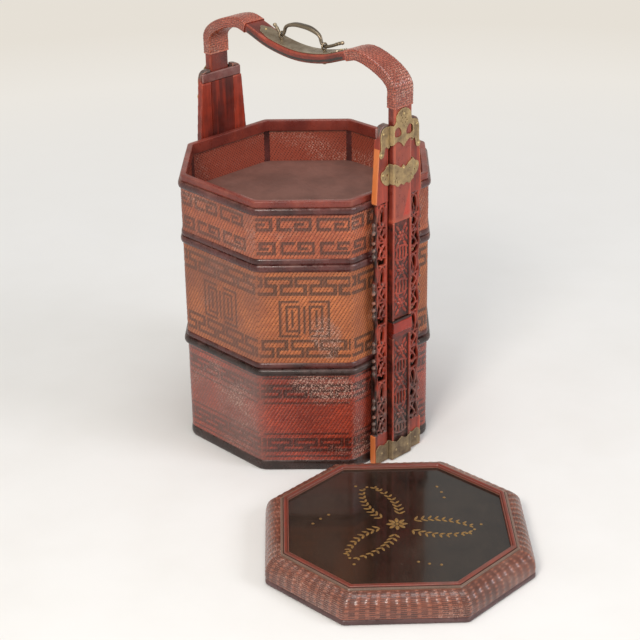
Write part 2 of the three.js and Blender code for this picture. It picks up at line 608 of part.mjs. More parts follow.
function footPlate() {
  const half = inShares([[0, 0.04], [0.96, 0.04], [0.96, 0.57], [0.82, 0.63], [0.61, 0.57], [0.41, 0.67],
    [0.2, 0.59], [0, 0.69]], WING_FOOT_HALF, 0);
  const nails = [...onWings(WING_NAILS.slice(3), nail), ...onMiddle(FOOT_NAILS, nail)];
  return join([steppedBrass([bothSides(half)], WING_FOOT_HALF), ...nails]);
}

// A carved board between the wings: a sunk field with a raised border on each side
function centreBoard(low, high) {
  const sunk = LEG_FRONT - CENTRE_RECESS;
  const field = CENTRE_HALF - CENTRE_BORDER;
  const section = [[LEG_IN, -CENTRE_HALF], [LEG_FRONT, -CENTRE_HALF], [LEG_FRONT, -field], [sunk, -field],
    [sunk, field], [LEG_FRONT, field], [LEG_FRONT, CENTRE_HALF], [LEG_IN, CENTRE_HALF]];
  return cut(slab(section, low, high), nailHoles());
}

// One upright, modelled at the +X end
function upright(name) {
  const group = new THREE.Group();
  const stripLow = UPRIGHT_TOP - STRIP_HEIGHT - 5;
  const strip = rectangle(-WING_TOP_HALF + 1, stripLow, WING_TOP_HALF - 1, stripLow + STRIP_HEIGHT);
  const housing = rectangle(-WING_TOP_HALF - 5, stripLow - SEAT_GAP, WING_TOP_HALF + 5,
    stripLow + STRIP_HEIGHT + SEAT_GAP);
  const notch = slabX(housing, UPRIGHT_IN - 5, UPRIGHT_IN + BACK_BOARD + SEAT_GAP);
  const holes = scrollHoles();
  const wing = slabX(wingOutline(), UPRIGHT_IN, WING_FRONT, holes);
  const otherWing = slabX(mirrorY(wingOutline()), UPRIGHT_IN, WING_FRONT, holes.map(mirrorY));
  const bores = [notch, ...nailHoles()];
  addPiece(group, `${name}_right_wing`, cut(wing, bores), redLacquer);
  addPiece(group, `${name}_left_wing`, cut(otherWing, bores), redLacquer);
  addPiece(group, `${name}_cross_strip`, slabX(strip, UPRIGHT_IN, UPRIGHT_IN + BACK_BOARD), brownLacquer);
  const backHalf = CHANNEL_HALF - SEAT_GAP;
  const backOutline = rectangle(-backHalf, 0, backHalf, stripLow - SEAT_GAP);
  const back = slabX(backOutline, UPRIGHT_IN, UPRIGHT_IN + BACK_BOARD);
  addPiece(group, `${name}_back_board`, cut(back, pegHoles()), brownLacquer);
  const cleatTop = BOTTOM_TRAY - SHOULDER_RAIL - SEAT_GAP;
  const cleat = slabX(rectangle(-CLEAT_HALF, 0, CLEAT_HALF, cleatTop),
    HALF + BASE_PROUD + SEAT_GAP, UPRIGHT_IN - SEAT_GAP);
  addPiece(group, `${name}_cleat`, cut(cleat, pegHoles()), darkLacquer);
  PEG_HEIGHTS.forEach((z, i) =>
    addPiece(group, i ? `${name}_shoulder_peg` : `${name}_base_peg`, peg(z, 0), brightLacquer));
  const separatorTop = SEPARATOR_Z + SEPARATOR_HEIGHT;
  addPiece(group, `${name}_lower_carved_board`, centreBoard(0, SEPARATOR_Z - SEAT_GAP), redLacquer);
  const separator = rectangle(-CENTRE_HALF, SEPARATOR_Z, CENTRE_HALF, separatorTop);
  addPiece(group, `${name}_separator_block`,
    slabX(separator, LEG_IN, LEG_FRONT + SEPARATOR_PROUD), brightLacquer);
  addPiece(group, `${name}_upper_carved_board`,
    centreBoard(separatorTop + SEAT_GAP, LEG_END - SEAT_GAP), redLacquer);
  addPiece(group, `${name}_cap_plate`, capPlate(), agedBrass);
  addPiece(group, `${name}_butterfly_plate`, butterflyPlate(), agedBrass);
  addPiece(group, `${name}_foot_plate`, footPlate(), agedBrass);
  return group;
}

// The lid, modelled closed side down: its rim drops over the lip of the open tray
function lid() {
  const group = new THREE.Group();
  const away = ACROSS + LID_STANDOFF;
  group.position.set(away * Math.cos(LID_DIRECTION), away * Math.sin(LID_DIRECTION), 0);
  group.rotation.z = LID_TURN;
  const rimInner = -RIM_INSET + LID_FIT;
  const rimOuter = rimInner + LID_RIM_THICKNESS;
  addPiece(group, 'lid_rim', roundedRing(rimInner, rimOuter, 0, LID_RIM_HEIGHT), darkLacquer);

  const panelTop = LID_HEIGHT - MOULDING_HEIGHT - SEAT_GAP;
  const skirtLow = LID_RIM_HEIGHT + SEAT_GAP;
  const spring = skirtLow + 4; // the wall is upright up to here, then domes inwards
  const outer = rimOuter - 1;
  const dome = (wall, rise) => Array.from({ length: 7 }, (_, i) => {
    const turn = (Math.PI * i) / 12;
    return [wall - LID_SKIRT_REACH * (1 - Math.cos(turn)), spring + rise * Math.sin(turn)];
  });
  const rise = panelTop - spring;
  const skirt = [[outer - LID_SKIRT_THICKNESS, skirtLow], [outer, skirtLow], ...dome(outer, rise),
    ...dome(outer - LID_SKIRT_THICKNESS, rise - LID_SKIRT_THICKNESS).reverse()];
  addPiece(group, 'lid_woven_skirt', ring(skirt), lidWeave);

  const panelEdge = outer - LID_SKIRT_THICKNESS - LID_SKIRT_REACH - SEAT_GAP;
  addPiece(group, 'lid_panel', slab(octagon(panelEdge), panelTop - PANEL_THICKNESS, panelTop), blackLacquer);
  const frameOuter = outer - LID_SKIRT_REACH - 1;
  const frameInner = frameOuter - MOULDING_WIDTH;
  const frameLow = panelTop + SEAT_GAP;
  addPiece(group, 'lid_moulding', ring([
    [frameInner, frameLow], [frameOuter, frameLow], [frameOuter, LID_HEIGHT - 2],
    [frameOuter - 5, LID_HEIGHT - 1.4], [frameOuter - 6, LID_HEIGHT], [frameInner + 3, LID_HEIGHT],
    [frameInner, LID_HEIGHT - 1.8]]), brightLacquer);
  addPiece(group, 'lid_inner_ring',
    squareRing(panelEdge - LEDGE_WIDTH, panelEdge, panelTop - PANEL_THICKNESS - SEAT_GAP - LEDGE_DEPTH,
      panelTop - PANEL_THICKNESS - SEAT_GAP), brownLacquer);
  return group;
}

const basket = new THREE.Group();
basket.add(bottomTray(), middleTray(), topTray(), lid());
basket.add(upright('front'));
const backUpright = upright('back');
backUpright.rotation.z = Math.PI;
basket.add(backUpright);
handle(basket);
postsAndBail(basket);

export default basket;
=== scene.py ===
# %% [markdown]
# A wedding basket carried sweets and gifts from one family to another. This one has three stacking
# trays woven from split bamboo on an octagonal plan, two carved and lacquered uprights, a bentwood
# handle with a small brass bail, and a lid that lies beside it with its lacquered panel up.
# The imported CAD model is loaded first, as a fixed frame. Every piece made below is in metres in that
# same frame, stands where its CAD node stands, and moves with the same body.

# %% Load the frame
import math
from contextlib import contextmanager
from functools import partial
import bpy
import bmesh
import numpy as np
from mathutils import Matrix, Vector


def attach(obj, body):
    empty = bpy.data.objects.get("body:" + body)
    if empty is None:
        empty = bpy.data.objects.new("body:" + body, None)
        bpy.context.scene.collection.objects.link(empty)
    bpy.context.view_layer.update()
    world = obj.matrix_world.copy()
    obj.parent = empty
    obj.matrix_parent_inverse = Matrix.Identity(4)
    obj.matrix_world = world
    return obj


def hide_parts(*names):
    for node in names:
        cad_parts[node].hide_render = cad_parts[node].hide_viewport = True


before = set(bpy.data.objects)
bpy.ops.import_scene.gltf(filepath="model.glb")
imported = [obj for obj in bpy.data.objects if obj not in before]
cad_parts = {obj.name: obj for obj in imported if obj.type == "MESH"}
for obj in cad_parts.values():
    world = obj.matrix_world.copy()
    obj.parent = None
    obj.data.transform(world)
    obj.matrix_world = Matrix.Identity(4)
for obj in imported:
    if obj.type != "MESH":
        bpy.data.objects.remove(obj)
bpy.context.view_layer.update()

# %% [markdown]
# The camera stands where the photographer stood. Its place, direction and focal length were worked out
# from the measured corners of the octagon, so the lens is a long one, about 96 mm on a 36 mm sensor.
# A camera looks along its own -Z, so its three axes are put into a matrix as columns.

# %% Camera
EYE = Vector((1.7197, -1.6225, 1.2752))
LOOK = Vector((-0.65304, 0.62570, -0.42666)).normalized()
ROLL = math.radians(-0.906)
level_right = LOOK.cross(Vector((0, 0, 1))).normalized()
level_up = level_right.cross(LOOK)
camera_right = level_right * math.cos(ROLL) + level_up * math.sin(ROLL)
camera_up = level_up * math.cos(ROLL) - level_right * math.sin(ROLL)
turn = Matrix((camera_right, camera_up, -LOOK)).transposed().to_4x4()
bpy.ops.object.camera_add()
camera = bpy.context.object
camera.name = "photo_camera"
camera.matrix_world = Matrix.Translation(EYE) @ turn
camera.data.sensor_width = 36.0
camera.data.lens = 1703.6 / 640 * 36.0
camera.data.clip_end = 30.0
bpy.context.scene.camera = camera
bpy.context.scene.view_settings.view_transform = "Standard"
print("lens", round(camera.data.lens, 1), "mm")

# %% [markdown]
# Helpers for materials. Colours are written as sRGB hex values, as a picture editor shows them, and
# Blender's shaders want linear light, so one function turns them. A second one adds a node with its
# settings and its links in one call, which keeps a material's recipe short enough to read. The first
# number of a noise is how many patches it has in a metre, so 24 is one every 42 mm, and a stretch of its
# place multiplies that number along each axis.

# %% Material helpers
USUAL = {"Mix": {"data_type": "RGBA"}, "TexCoord": {"out": "Object"}, "Attribute": {"out": "Fac"}}


def colour(code):
    """A hex colour as linear red, green, blue and alpha."""
    parts = [int(code[i:i + 2], 16) / 255 for i in (1, 3, 5)]
    linear = [c / 12.92 if c <= 0.04045 else ((c + 0.055) / 1.055) ** 2.4 for c in parts]
    return (*linear, 1.0)


def add_node(tree, kind, *inputs, **named):
    """Add a node and return the output that is used. Inputs fill its sockets in order, with a number, a
    hex colour or another node's output. A name with a capital is a socket too, other names are properties."""
    named = USUAL.get(kind, {}) | named
    wanted = named.pop("out", None)
    node = tree.nodes.new("ShaderNode" + kind)
    for name in filter(str.islower, named):
        setattr(node, name, named[name])
    filled = list(zip([socket for socket in node.inputs if socket.enabled], inputs))
    filled += [(node.inputs[name.replace("_", " ")], value) for name, value in named.items()
               if name[0].isupper()]
    for socket, value in filled:
        if isinstance(value, bpy.types.NodeSocket):
            tree.links.new(value, socket)
        else:
            socket.default_value = colour(value) if isinstance(value, str) else value
    outputs = [socket for socket in node.outputs if socket.enabled and wanted in (None, socket.name)]
    return outputs[0] if outputs else None


def new_material(name):
    """A new material, and the function that adds nodes to it."""
    material = bpy.data.materials.new(name)
    material.use_nodes = True
    material.node_tree.nodes.clear()
    return material, partial(add_node, material.node_tree)


def object_place(node, scale=(1, 1, 1), spin=(0, 0, 0)):
    """Object coordinates, stretched by scale, for patterns that keep their size in metres."""
    return node("Mapping", node("TexCoord"), Scale=scale, Rotation=spin)


# %% [markdown]
# Lacquered wood. Raw lacquer is brushed over the wood in thin coats tinted with cinnabar or iron, so it
# is satin, a little uneven in tone, and uneven in gloss. Years of handling rub it through to a paler
# orange or grey on every edge, and the hollows are painted dark, grime and painted shade together. Wear
# drives both, a value that is marked on the vertices of each piece further down. Blotches are about 40 mm,
# brush streaks about 3 mm, scuffs about 1 mm. A bright tone shows in upright bands about 9 mm wide where
# a board asks for it, and three more values on the vertices say where a second tone goes, mostly grey,
# where wood shows bare and orange, and where shade is painted on in a dark tone.

# %% Lacquered wood


def lacquered_wood(name, base, deep, rubbed, gloss, rub=1.0, shade_and_grime="#1C100C", bright=None, lively=0.0,
                   greyed="#76645F"):
    """Lacquer with its base tone, a deeper tone in blotches, a rubbed tone on edges, and its roughness."""
    material, node = new_material(name)
    place = object_place(node)
    blotch = node("MapRange", node("TexNoise", place, 24, 4, 0.55), 0.38, 0.66)
    streak = node("TexNoise", object_place(node, (330, 330, 60)), 1.0, 4, 0.55)
    body = node("Mix", blotch, base, deep)
    body = node("Mix", node("MapRange", streak, 0.52, 0.78, 0, 0.5), body, deep)
    grain = node("TexNoise", object_place(node, (110, 110, 7)), 1.0, 3, 0.55)
    body = node("Mix", node("MapRange", grain, 0.52, 0.7, 0, lively), body, bright or base)
    body = node("Mix", node("MapRange", grain, 0.47, 0.3, 0, lively), body, deep)
    cloudy = node("TexNoise", place, 110, 4, 0.65)
    # The last of these values is painted shade: its dark tone goes where shade falls, in openings and
    # recesses of the carving and under the handle's dip.
    for name_of_value, tone in (("greyed", greyed), ("bare", "#D2763F"), ("painted_shade", shade_and_grime)):
        spread = node("Math", node("Attribute", attribute_name=name_of_value),
                      node("Math", node("Math", cloudy, 0.5, operation="SUBTRACT"), 0.9,
                           operation="MULTIPLY"), operation="ADD")
        marked = node("Math", node("MapRange", spread, 0.25, 0.75),
                      node("MapRange", node("Attribute", attribute_name=name_of_value), 0.0, 0.15),
                      operation="MULTIPLY")
        body = node("Mix", marked, body, tone)
    wear = node("Attribute", attribute_name="wear")
    scuff = node("TexNoise", place, 900, 3, 0.7)
    patch = node("TexNoise", place, 55, 3, 0.6)
    ragged = node("Math", node("Math", scuff, 0.1, operation="MULTIPLY"),
                  node("Math", patch, 0.22, operation="MULTIPLY"), operation="ADD")
    rubbing = node("Math", wear, node("Math", ragged, 0.17, operation="SUBTRACT"), operation="ADD")
    edge = node("MapRange", rubbing, 0.05, 0.2, 0, rub)
    body = node("Mix", edge, body, rubbed)
    # Hollows, where the wear value is negative, get the same dark tone: grime together with painted shade.
    hollow = node("MapRange",
                  node("Math", wear, node("Math", scuff, 0.05, operation="MULTIPLY"), operation="ADD"),
                  0.01, -0.09)
    body = node("Mix", hollow, body, shade_and_grime)
    sheen = node("Math", node("MapRange", patch, 0.35, 0.65, gloss - 0.07, gloss + 0.1),
                 node("Math", edge, 0.08, operation="MULTIPLY"), operation="ADD")
    dents = node("Bump", 0.35, 0.0004, Height=streak)
    dents = node("Bump", 0.12, 0.0003, Height=scuff, Normal=dents)
    node("OutputMaterial",
         node("BsdfPrincipled", Base_Color=body, Roughness=sheen, Normal=dents, IOR=1.5,
              Specular_IOR_Level=0.5))
    return material


# %% [markdown]
# Eight finishes come from that recipe: bright ones for the carved and the plain boards, darker and
# glossier ones for the rims and rails, a smooth one for the handle, and a dull one for a tray's floor.

# %% Lacquers of the basket
red_lacquer = lacquered_wood("cinnabar_lacquer_on_carved_wood", "#A03A27", "#5E1F16", "#C8785C", 0.36, 0.85,
                             shade_and_grime="#190C09", bright="#B8452E", lively=0.7, greyed="#5F514C")
rim_lacquer = lacquered_wood("red_lacquer_on_the_tray_rim", "#84392D", "#662821", "#B4745E", 0.30, 0.7)
bright_lacquer = lacquered_wood("bright_cinnabar_lacquer_on_wood", "#A82C19", "#7E1F11", "#C87E64", 0.32,
                                0.8)
rail_lacquer = lacquered_wood("purple_brown_lacquer_on_bent_rails", "#5C2E2B", "#361A18", "#A87668", 0.26,
                              0.85)
dark_lacquer = lacquered_wood("dark_lacquer_on_thick_rails", "#382622", "#231612", "#94706A", 0.28, 0.8)
handle_lacquer = lacquered_wood("smooth_red_lacquer_on_bentwood", "#8C392B", "#5A2620", "#BA5A42", 0.30,
                                0.8, shade_and_grime="#352B27", bright="#C04A2C", greyed="#B2301E")
board_lacquer = lacquered_wood("streaky_red_lacquer_on_plain_boards", "#74271C", "#44140E", "#A55C46", 0.38,
                               0.8, bright="#A63A24", lively=0.9)
floor_wood = lacquered_wood("matt_board_of_the_tray_floor", "#7C564C", "#6B4A41", "#93695C", 0.62, 0.5)
print("lacquers:", [finish.name for finish in (red_lacquer, rim_lacquer, bright_lacquer, rail_lacquer,
                                               dark_lacquer, handle_lacquer, board_lacquer, floor_wood)])

# %% [markdown]
# The walls are woven from split bamboo. Upright splints about 1.8 mm wide pass over strands about
# 2.9 mm high. Each splint dives under every third strand, one step further along in each row, which
# leaves slits in slanting lines, painted dark as shade in the gaps. Dark splints, every second one, draw a
# common key fret. One of the slanting sides and its neighbour, and the end of the front side next to them,
# are painted under a dull veil that stands for glare, light reflected off them at a grazing angle.
# The wall is one mesh: its vertices carry the dive, the fret and a tone for each float, and the material
# reads those. Near the octagon's corners the splints run plain, and the strip there is paler.

# %% Woven bamboo


def woven_bamboo(name, light, mid, deep, slit, fret, gloss, sparkle, within="#9A4430", painted_glints=0.6,
                 proud=None):
    """Split bamboo stained and varnished. Sparkle is how much clear varnish stands on the floats, and the
    number for pale specks how many glints of light are painted on them. Proud is the tone of a strip on top."""
    material, node = new_material(name)
    place = object_place(node)
    tone = node("Attribute", attribute_name="tone")
    pit = node("Attribute", attribute_name="pit")
    mask = node("Attribute", attribute_name="fret")
    strip = node("Attribute", attribute_name="strip")
    age = node("MapRange", node("TexNoise", place, 14, 4, 0.6), 0.36, 0.68)
    fibre = node("TexNoise", object_place(node, (1900, 1900, 150)), 1.0, 2, 0.55)
    body = node("Mix", tone, mid, light)
    body = node("Mix", node("MapRange", age, 0, 1, 0, 0.75), body, deep)
    body = node("Mix", node("MapRange", fibre, 0.5, 0.85, 0, 0.45), body, deep)
    body = node("Mix", node("MapRange", strip, 0, 1, 0, 0.65 if proud else 0.2), body, proud or light)
    # Painted glints: where a broad noise is high, and more in a patch marked on the front side, the floats
    # are veiled grey and dotted with pale specks that stand for light glinting on the varnish.
    cloud = node("Math", node("TexNoise", object_place(node, (1, 1, 1.6)), 9, 4, 0.62),
                 node("Math", node("Attribute", attribute_name="rubbed"), 0.5, operation="MULTIPLY"),
                 operation="ADD")
    glinting = node("MapRange", cloud, 0.5, 0.66)
    body = node("Mix", node("MapRange", glinting, 0, 1, 0.04, 0.34), body, "#94695C")
    glint_specks = node("MapRange", node("TexNoise", place, 560, 2, 0.6), 0.51, 0.64)
    pale_glints = node("Math", glint_specks, node("MapRange", glinting, 0.0, 1.0, 0.12 * painted_glints, painted_glints),
                operation="MULTIPLY")
    body = node("Mix", node("Attribute", attribute_name="inside"), body, within)
    body = node("Mix", node("MapRange", mask, 0.12, 0.75, 0, 0.86), body, fret)
    body = node("Mix", pale_glints, body, "#E4BEAC")
    # Painted shade: the slits where a splint dives, and the lines between strands, are darkened as shade in
    # the gaps.
    body = node("Mix", node("MapRange", pit, 0.18, 0.72, 0, 0.95), body, slit)
    # Painted glare: a dull veil over the sides that the weave marks, standing for light reflected off them.
    veil = node("Math", node("Attribute", attribute_name="faded"), node("MapRange", age, 0, 1, 0.26, 0.48),
                operation="MULTIPLY")
    body = node("Mix", veil, body, "#7E5448")
    sheen = node("Math", node("MapRange", fibre, 0.3, 0.7, gloss - 0.08, gloss + 0.08),
                 node("Math", pit, 0.25, operation="MULTIPLY"), operation="ADD")
    grain = node("Bump", 0.3, 0.0003, Height=fibre)
    node("OutputMaterial",
         node("BsdfPrincipled", Base_Color=body, Roughness=sheen, Normal=grain, IOR=1.5,
              Coat_Weight=sparkle, Coat_Roughness=0.22))
    return material


# %% [markdown]
# Each tray's bamboo has its own stain. The top one is orange, the middle one a paler orange, and the
# bottom one deep red, with more of its varnish left and more pale specks painted on its floats as glints.

# %% Stains of the three trays
orange_weave = woven_bamboo("orange_bamboo_weave", "#CC6E42", "#A85030", "#7E3824", "#2C120C", "#452A22",
                            0.46, 0.15)
pale_weave = woven_bamboo("pale_orange_bamboo_weave", "#D47C44", "#B06036", "#874629", "#32160D", "#483024",
                          0.46, 0.12)
red_weave = woven_bamboo("deep_red_bamboo_weave", "#C24728", "#902B1A", "#641B10", "#180604", "#2C0F0A",
                         0.28, 0.5, painted_glints=0.85)
print("weaves:", [weave.name for weave in (orange_weave, pale_weave, red_weave)])

# %% [markdown]
# Helpers for modelling. An operator acts on whatever is selected, and loading the frame leaves its nodes
# selected, so each piece starts with nothing selected. All vertices of a piece are read or set at once, as
# rows of numbers, which is quick. Values stored on them are what the materials above read.

# %% Selection, points and values
MM = 0.001


def clear_selection():
    """Leave edit mode and select nothing."""
    if bpy.context.object and bpy.context.object.mode != "OBJECT":
        bpy.ops.object.mode_set(mode="OBJECT")
    bpy.ops.object.select_all(action="DESELECT")


def select_only(piece):
    clear_selection()
    piece.select_set(True)
    bpy.context.view_layer.objects.active = piece


def get_points(piece):
    """The vertices of a piece as rows of x, y, z."""
    points = np.empty(len(piece.data.vertices) * 3)
    piece.data.vertices.foreach_get("co", points)
    return points.reshape(-1, 3)


def set_points(piece, points):
    piece.data.vertices.foreach_set("co", np.asarray(points, dtype=float).ravel())
    piece.data.update()


def set_values(piece, name, values):
    """Store one number for each vertex, for a material to read."""
    layer = piece.data.attributes.get(name) or piece.data.attributes.new(name, "FLOAT", "POINT")
    layer.data.foreach_set("value", np.asarray(values, dtype=np.float32))


# %% [markdown]
# Most steps of edit mode work on a whole piece, so one context opens that mode with everything selected
# and closes it again. Doubles are merged before faces are turned outwards, and a modifier is applied at
# once, so that every piece ends as a plain mesh.

# %% Edit mode, modifiers and joining


@contextmanager
def editing(piece):
    """Edit mode, with all of a piece selected."""
    select_only(piece)
    bpy.ops.object.mode_set(mode="EDIT")
    bpy.ops.mesh.select_all(action="SELECT")
    yield
    bpy.ops.object.mode_set(mode="OBJECT")


def face_outwards(piece, merge=1e-6):
    """Merge doubles and turn every face of a closed shape outwards."""
    with editing(piece):
        bpy.ops.mesh.remove_doubles(threshold=merge)
        bpy.ops.mesh.normals_make_consistent(inside=False)


def apply_modifier(piece, kind, **settings):
    select_only(piece)
    modifier = piece.modifiers.new("shape", kind)
    for key, value in settings.items():
        setattr(modifier, key, value)
    bpy.ops.object.modifier_apply(modifier=modifier.name)


def smooth(piece, degrees):
    select_only(piece)
    bpy.ops.object.shade_smooth_by_angle(angle=math.radians(degrees))


def join_pieces(pieces):
    """Join objects into the first one."""
    clear_selection()
    for piece in pieces:
        piece.select_set(True)
    bpy.context.view_layer.objects.active = pieces[0]
    if len(pieces) > 1:
        bpy.ops.object.join()
    return bpy.context.object


# %% [markdown]
# A finished piece has its place in its mesh and its object at the origin, as a CAD node has. It is named,
# gets its finish, rides on a CAD body so that it moves with it, and stands for its CAD nodes.

# %% Finish a piece


def dress(piece, material):
    """Take a piece's materials off and put one on."""
    piece.data.materials.clear()
    piece.data.materials.append(material)


def finish_piece(piece, name, body, slot, material, *nodes):
    """Name a piece, give it its finish, let it ride, and let it stand for its CAD nodes."""
    piece.name = piece.data.name = name
    dress(piece, material)
    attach(piece, body)
    if nodes:
        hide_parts(*nodes)
    print(name, len(piece.data.polygons), "faces")
    return piece


# %% [markdown]
# The plan of the trays is an octagon whose four main sides are longer than the slanting ones. Everything
# that goes round a tray follows it at its own offset, and has a small arc of its own at each corner.

# %% Octagonal plan
HALF = 175 * MM
HALF_DIAGONAL = 179.82 * MM


def corners(offset):
    """The octagon's corners, anticlockwise, when its sides stand out by offset."""
    main = HALF + offset
    short = (HALF_DIAGONAL + offset) * math.sqrt(2) - main
    return [Vector(p) for p in ((main, -short), (main, short), (short, main), (-short, main),
                                (-main, short), (-main, -short), (-short, -main), (short, -main))]


def rounded_plan(offset, radius, corner_steps=4):
    """Points round the octagon with a small arc at each corner."""
    plan = corners(offset)
    points = []
    for k, corner in enumerate(plan):
        before = (plan[k - 1] - corner).normalized()
        after = (plan[(k + 1) % 8] - corner).normalized()
        reach = radius * math.tan(math.radians(22.5))
        inwards = (before + after).normalized()
        centre = corner + inwards * (radius / math.cos(math.radians(22.5)))
        first = corner + before * reach - centre
        last = corner + after * reach - centre
        for i in range(corner_steps + 1):
            share = i / corner_steps
            arm = first.lerp(last, share)
            points.append(centre + arm * (radius / arm.length))
    return points


sides = [(b - a).length / MM for a, b in zip(corners(0), corners(0)[1:])]
print("main sides", round(sides[0], 1), "mm, slanting sides", round(sides[1], 1), "mm")

# %% [markdown]
# The key fret is drawn as a line of a given breadth. For each vertex of the weave, its distance to the
# line says how far it belongs to the fret. A running meander and a row of separate hooked frets are the
# same unit of a line, repeated along the wall.

# %% Lines of a fret


def on_line(points, s, z, breadth):
    """How far places s, z belong to a line through points, from 0 to 1. All in millimetres."""
    nearest = np.full(s.shape, 1e9)
    for (s0, z0), (s1, z1) in zip(points, points[1:]):
        run_s, run_z = s1 - s0, z1 - z0
        share = ((s - s0) * run_s + (z - z0) * run_z) / max(run_s ** 2 + run_z ** 2, 1e-9)
        share = np.clip(share, 0, 1)
        away = np.maximum(abs(s - s0 - share * run_s), abs(z - z0 - share * run_z))
        nearest = np.minimum(nearest, away)
    return np.clip((breadth / 2 + 1.0 - nearest) / 1.2, 0, 1)


def meander(period, rise, start, edge, flip, s, z, breadth):
    """A running key fret whose long bars lie at the height edge, with its hooks towards flip."""
    unit = [(0, 1), (0.845, 1), (0.845, 0.52), (0.5, 0.52), (0.5, 0), (1.31, 0), (1.31, 0.52), (1, 0.52),
            (1, 1)]
    mask = np.zeros(s.shape)
    for n in range(-1, 5):
        points = [(start + (n + a) * period, edge + flip * (1 - b) * rise) for a, b in unit]
        mask = np.maximum(mask, on_line(points, s, z, breadth))
    return mask


def hooked_frets(start, edge, flip, s, z):
    """Separate frets 48 mm wide, one every 55 mm."""
    unit = [(18, 1), (2, 1), (2, 16), (46, 16), (46, 1), (26, 1), (26, 9), (36, 9)]
    mask = np.zeros(s.shape)
    for n in range(3):
        points = [(start + 55 * n + a, edge + flip * (16 - b)) for a, b in unit]
        mask = np.maximum(mask, on_line(points, s, z, 4.2))
    return mask


# %% [markdown]
# The middle and bottom trays carry a meander along the top and the bottom of each wall, and the top tray
# carries two rows of hooked frets. In the middle of a side the middle tray has brackets round upright
# bars, and the bottom tray has plain lines from corner to corner.

# %% Frets of the three trays


def top_fret(s, z, length):
    return np.maximum(hooked_frets(-23.4, 397.6, -1, s, z), hooked_frets(-19, 347.0, 1, s, z))


def middle_fret(s, z, length):
    mask = np.maximum(meander(42, 24, -28, 309.0, -1, s, z, 4.6), meander(42, 24, -14, 187.2, 1, s, z, 4.6))
    middle = length / 2
    for side in (-1, 1):
        for wide, tall in ((34, 27), (25, 19)):
            bracket = [(middle + side * 9, 246 + tall), (middle + side * wide, 246 + tall),
                       (middle + side * wide, 246 - tall), (middle + side * 9, 246 - tall)]
            mask = np.maximum(mask, on_line(bracket, s, z, 3.2))
        mask = np.maximum(mask, on_line([(middle + side * 17, 234), (middle + side * 17, 258)], s, z, 3.2))
    for a in (-8, 0, 8):
        mask = np.maximum(mask, on_line([(middle + a, 224), (middle + a, 264)], s, z, 3.0))
    return mask


def bottom_fret(s, z, length):
    mask = np.maximum(meander(37.7, 18, -20, 139.4, -1, s, z, 4.6),
                      meander(37.7, 18, -6, 32.6, 1, s, z, 4.6))
    for height in (151.6, 111.2, 60.2, 22.6):
        mask = np.maximum(mask, on_line([(6, height), (length - 6, height)], s, z, 2.2))
    return mask


# %% [markdown]
# A woven wall is sixteen grids, eight outside and eight inside, one vertex for each splint and two rows
# for each strand. The vertices are lifted or sunk by the weave in code, because no modelling operator
# knows which splint dives where. Narrow strips close the wall above and below, and all is merged.

# %% One side of the octagon
SPLINT = 1.77
STRAND = 2.9
ROUND = 20.0
OUTER = -1.0
INNER = -5.8
random = np.random.default_rng(7)


def side_length(side, offset):
    """Length of one side of the octagon at an offset, in millimetres."""
    plan = corners(offset * MM)
    return (plan[(side + 1) % 8] - plan[side]).length / MM


def splints_on(side):
    return round(side_length(side, OUTER) / SPLINT)


def flat_grid(columns, rows):
    """A grid, the place u, v of each vertex on it from 0 to 1, and the number of its column and row."""
    bpy.ops.mesh.primitive_grid_add(x_subdivisions=columns, y_subdivisions=rows, size=1)
    grid = bpy.context.object
    u, v = (get_points(grid)[:, :2] + 0.5).T
    return grid, u, v, np.rint(u * columns).astype(int), np.rint(v * rows).astype(int)


def along_side(side, offset, u):
    """Places on one side of the octagon, from its first corner at 0 to its next at 1, round at both."""
    plan = corners(offset * MM)
    a, b = np.array(plan[side]), np.array(plan[(side + 1) % 8])
    length = np.linalg.norm(b - a)
    run = (b - a) / length
    out = np.array([run[1], -run[0]])
    reach = ROUND * MM * math.tan(math.radians(22.5))
    s = u * length
    turn = math.radians(22.5) * (np.maximum(reach - s, 0) - np.maximum(s - length + reach, 0)) / reach
    straight = np.clip(s, reach, length - reach)[:, None]
    arm = out * np.cos(turn)[:, None] - run * np.sin(turn)[:, None] - out
    return a + run * straight + arm * ROUND * MM


# %% [markdown]
# A vertex dives where its splint goes under a strand. The lift along the wall's outward direction, the
# fret, the plain strip at the corners, the painted glare and the patch of painted glints are worked out
# for all vertices of a side at once, and stored on them. The floats get their tones from one table of
# random numbers.

# %% Weave of one side


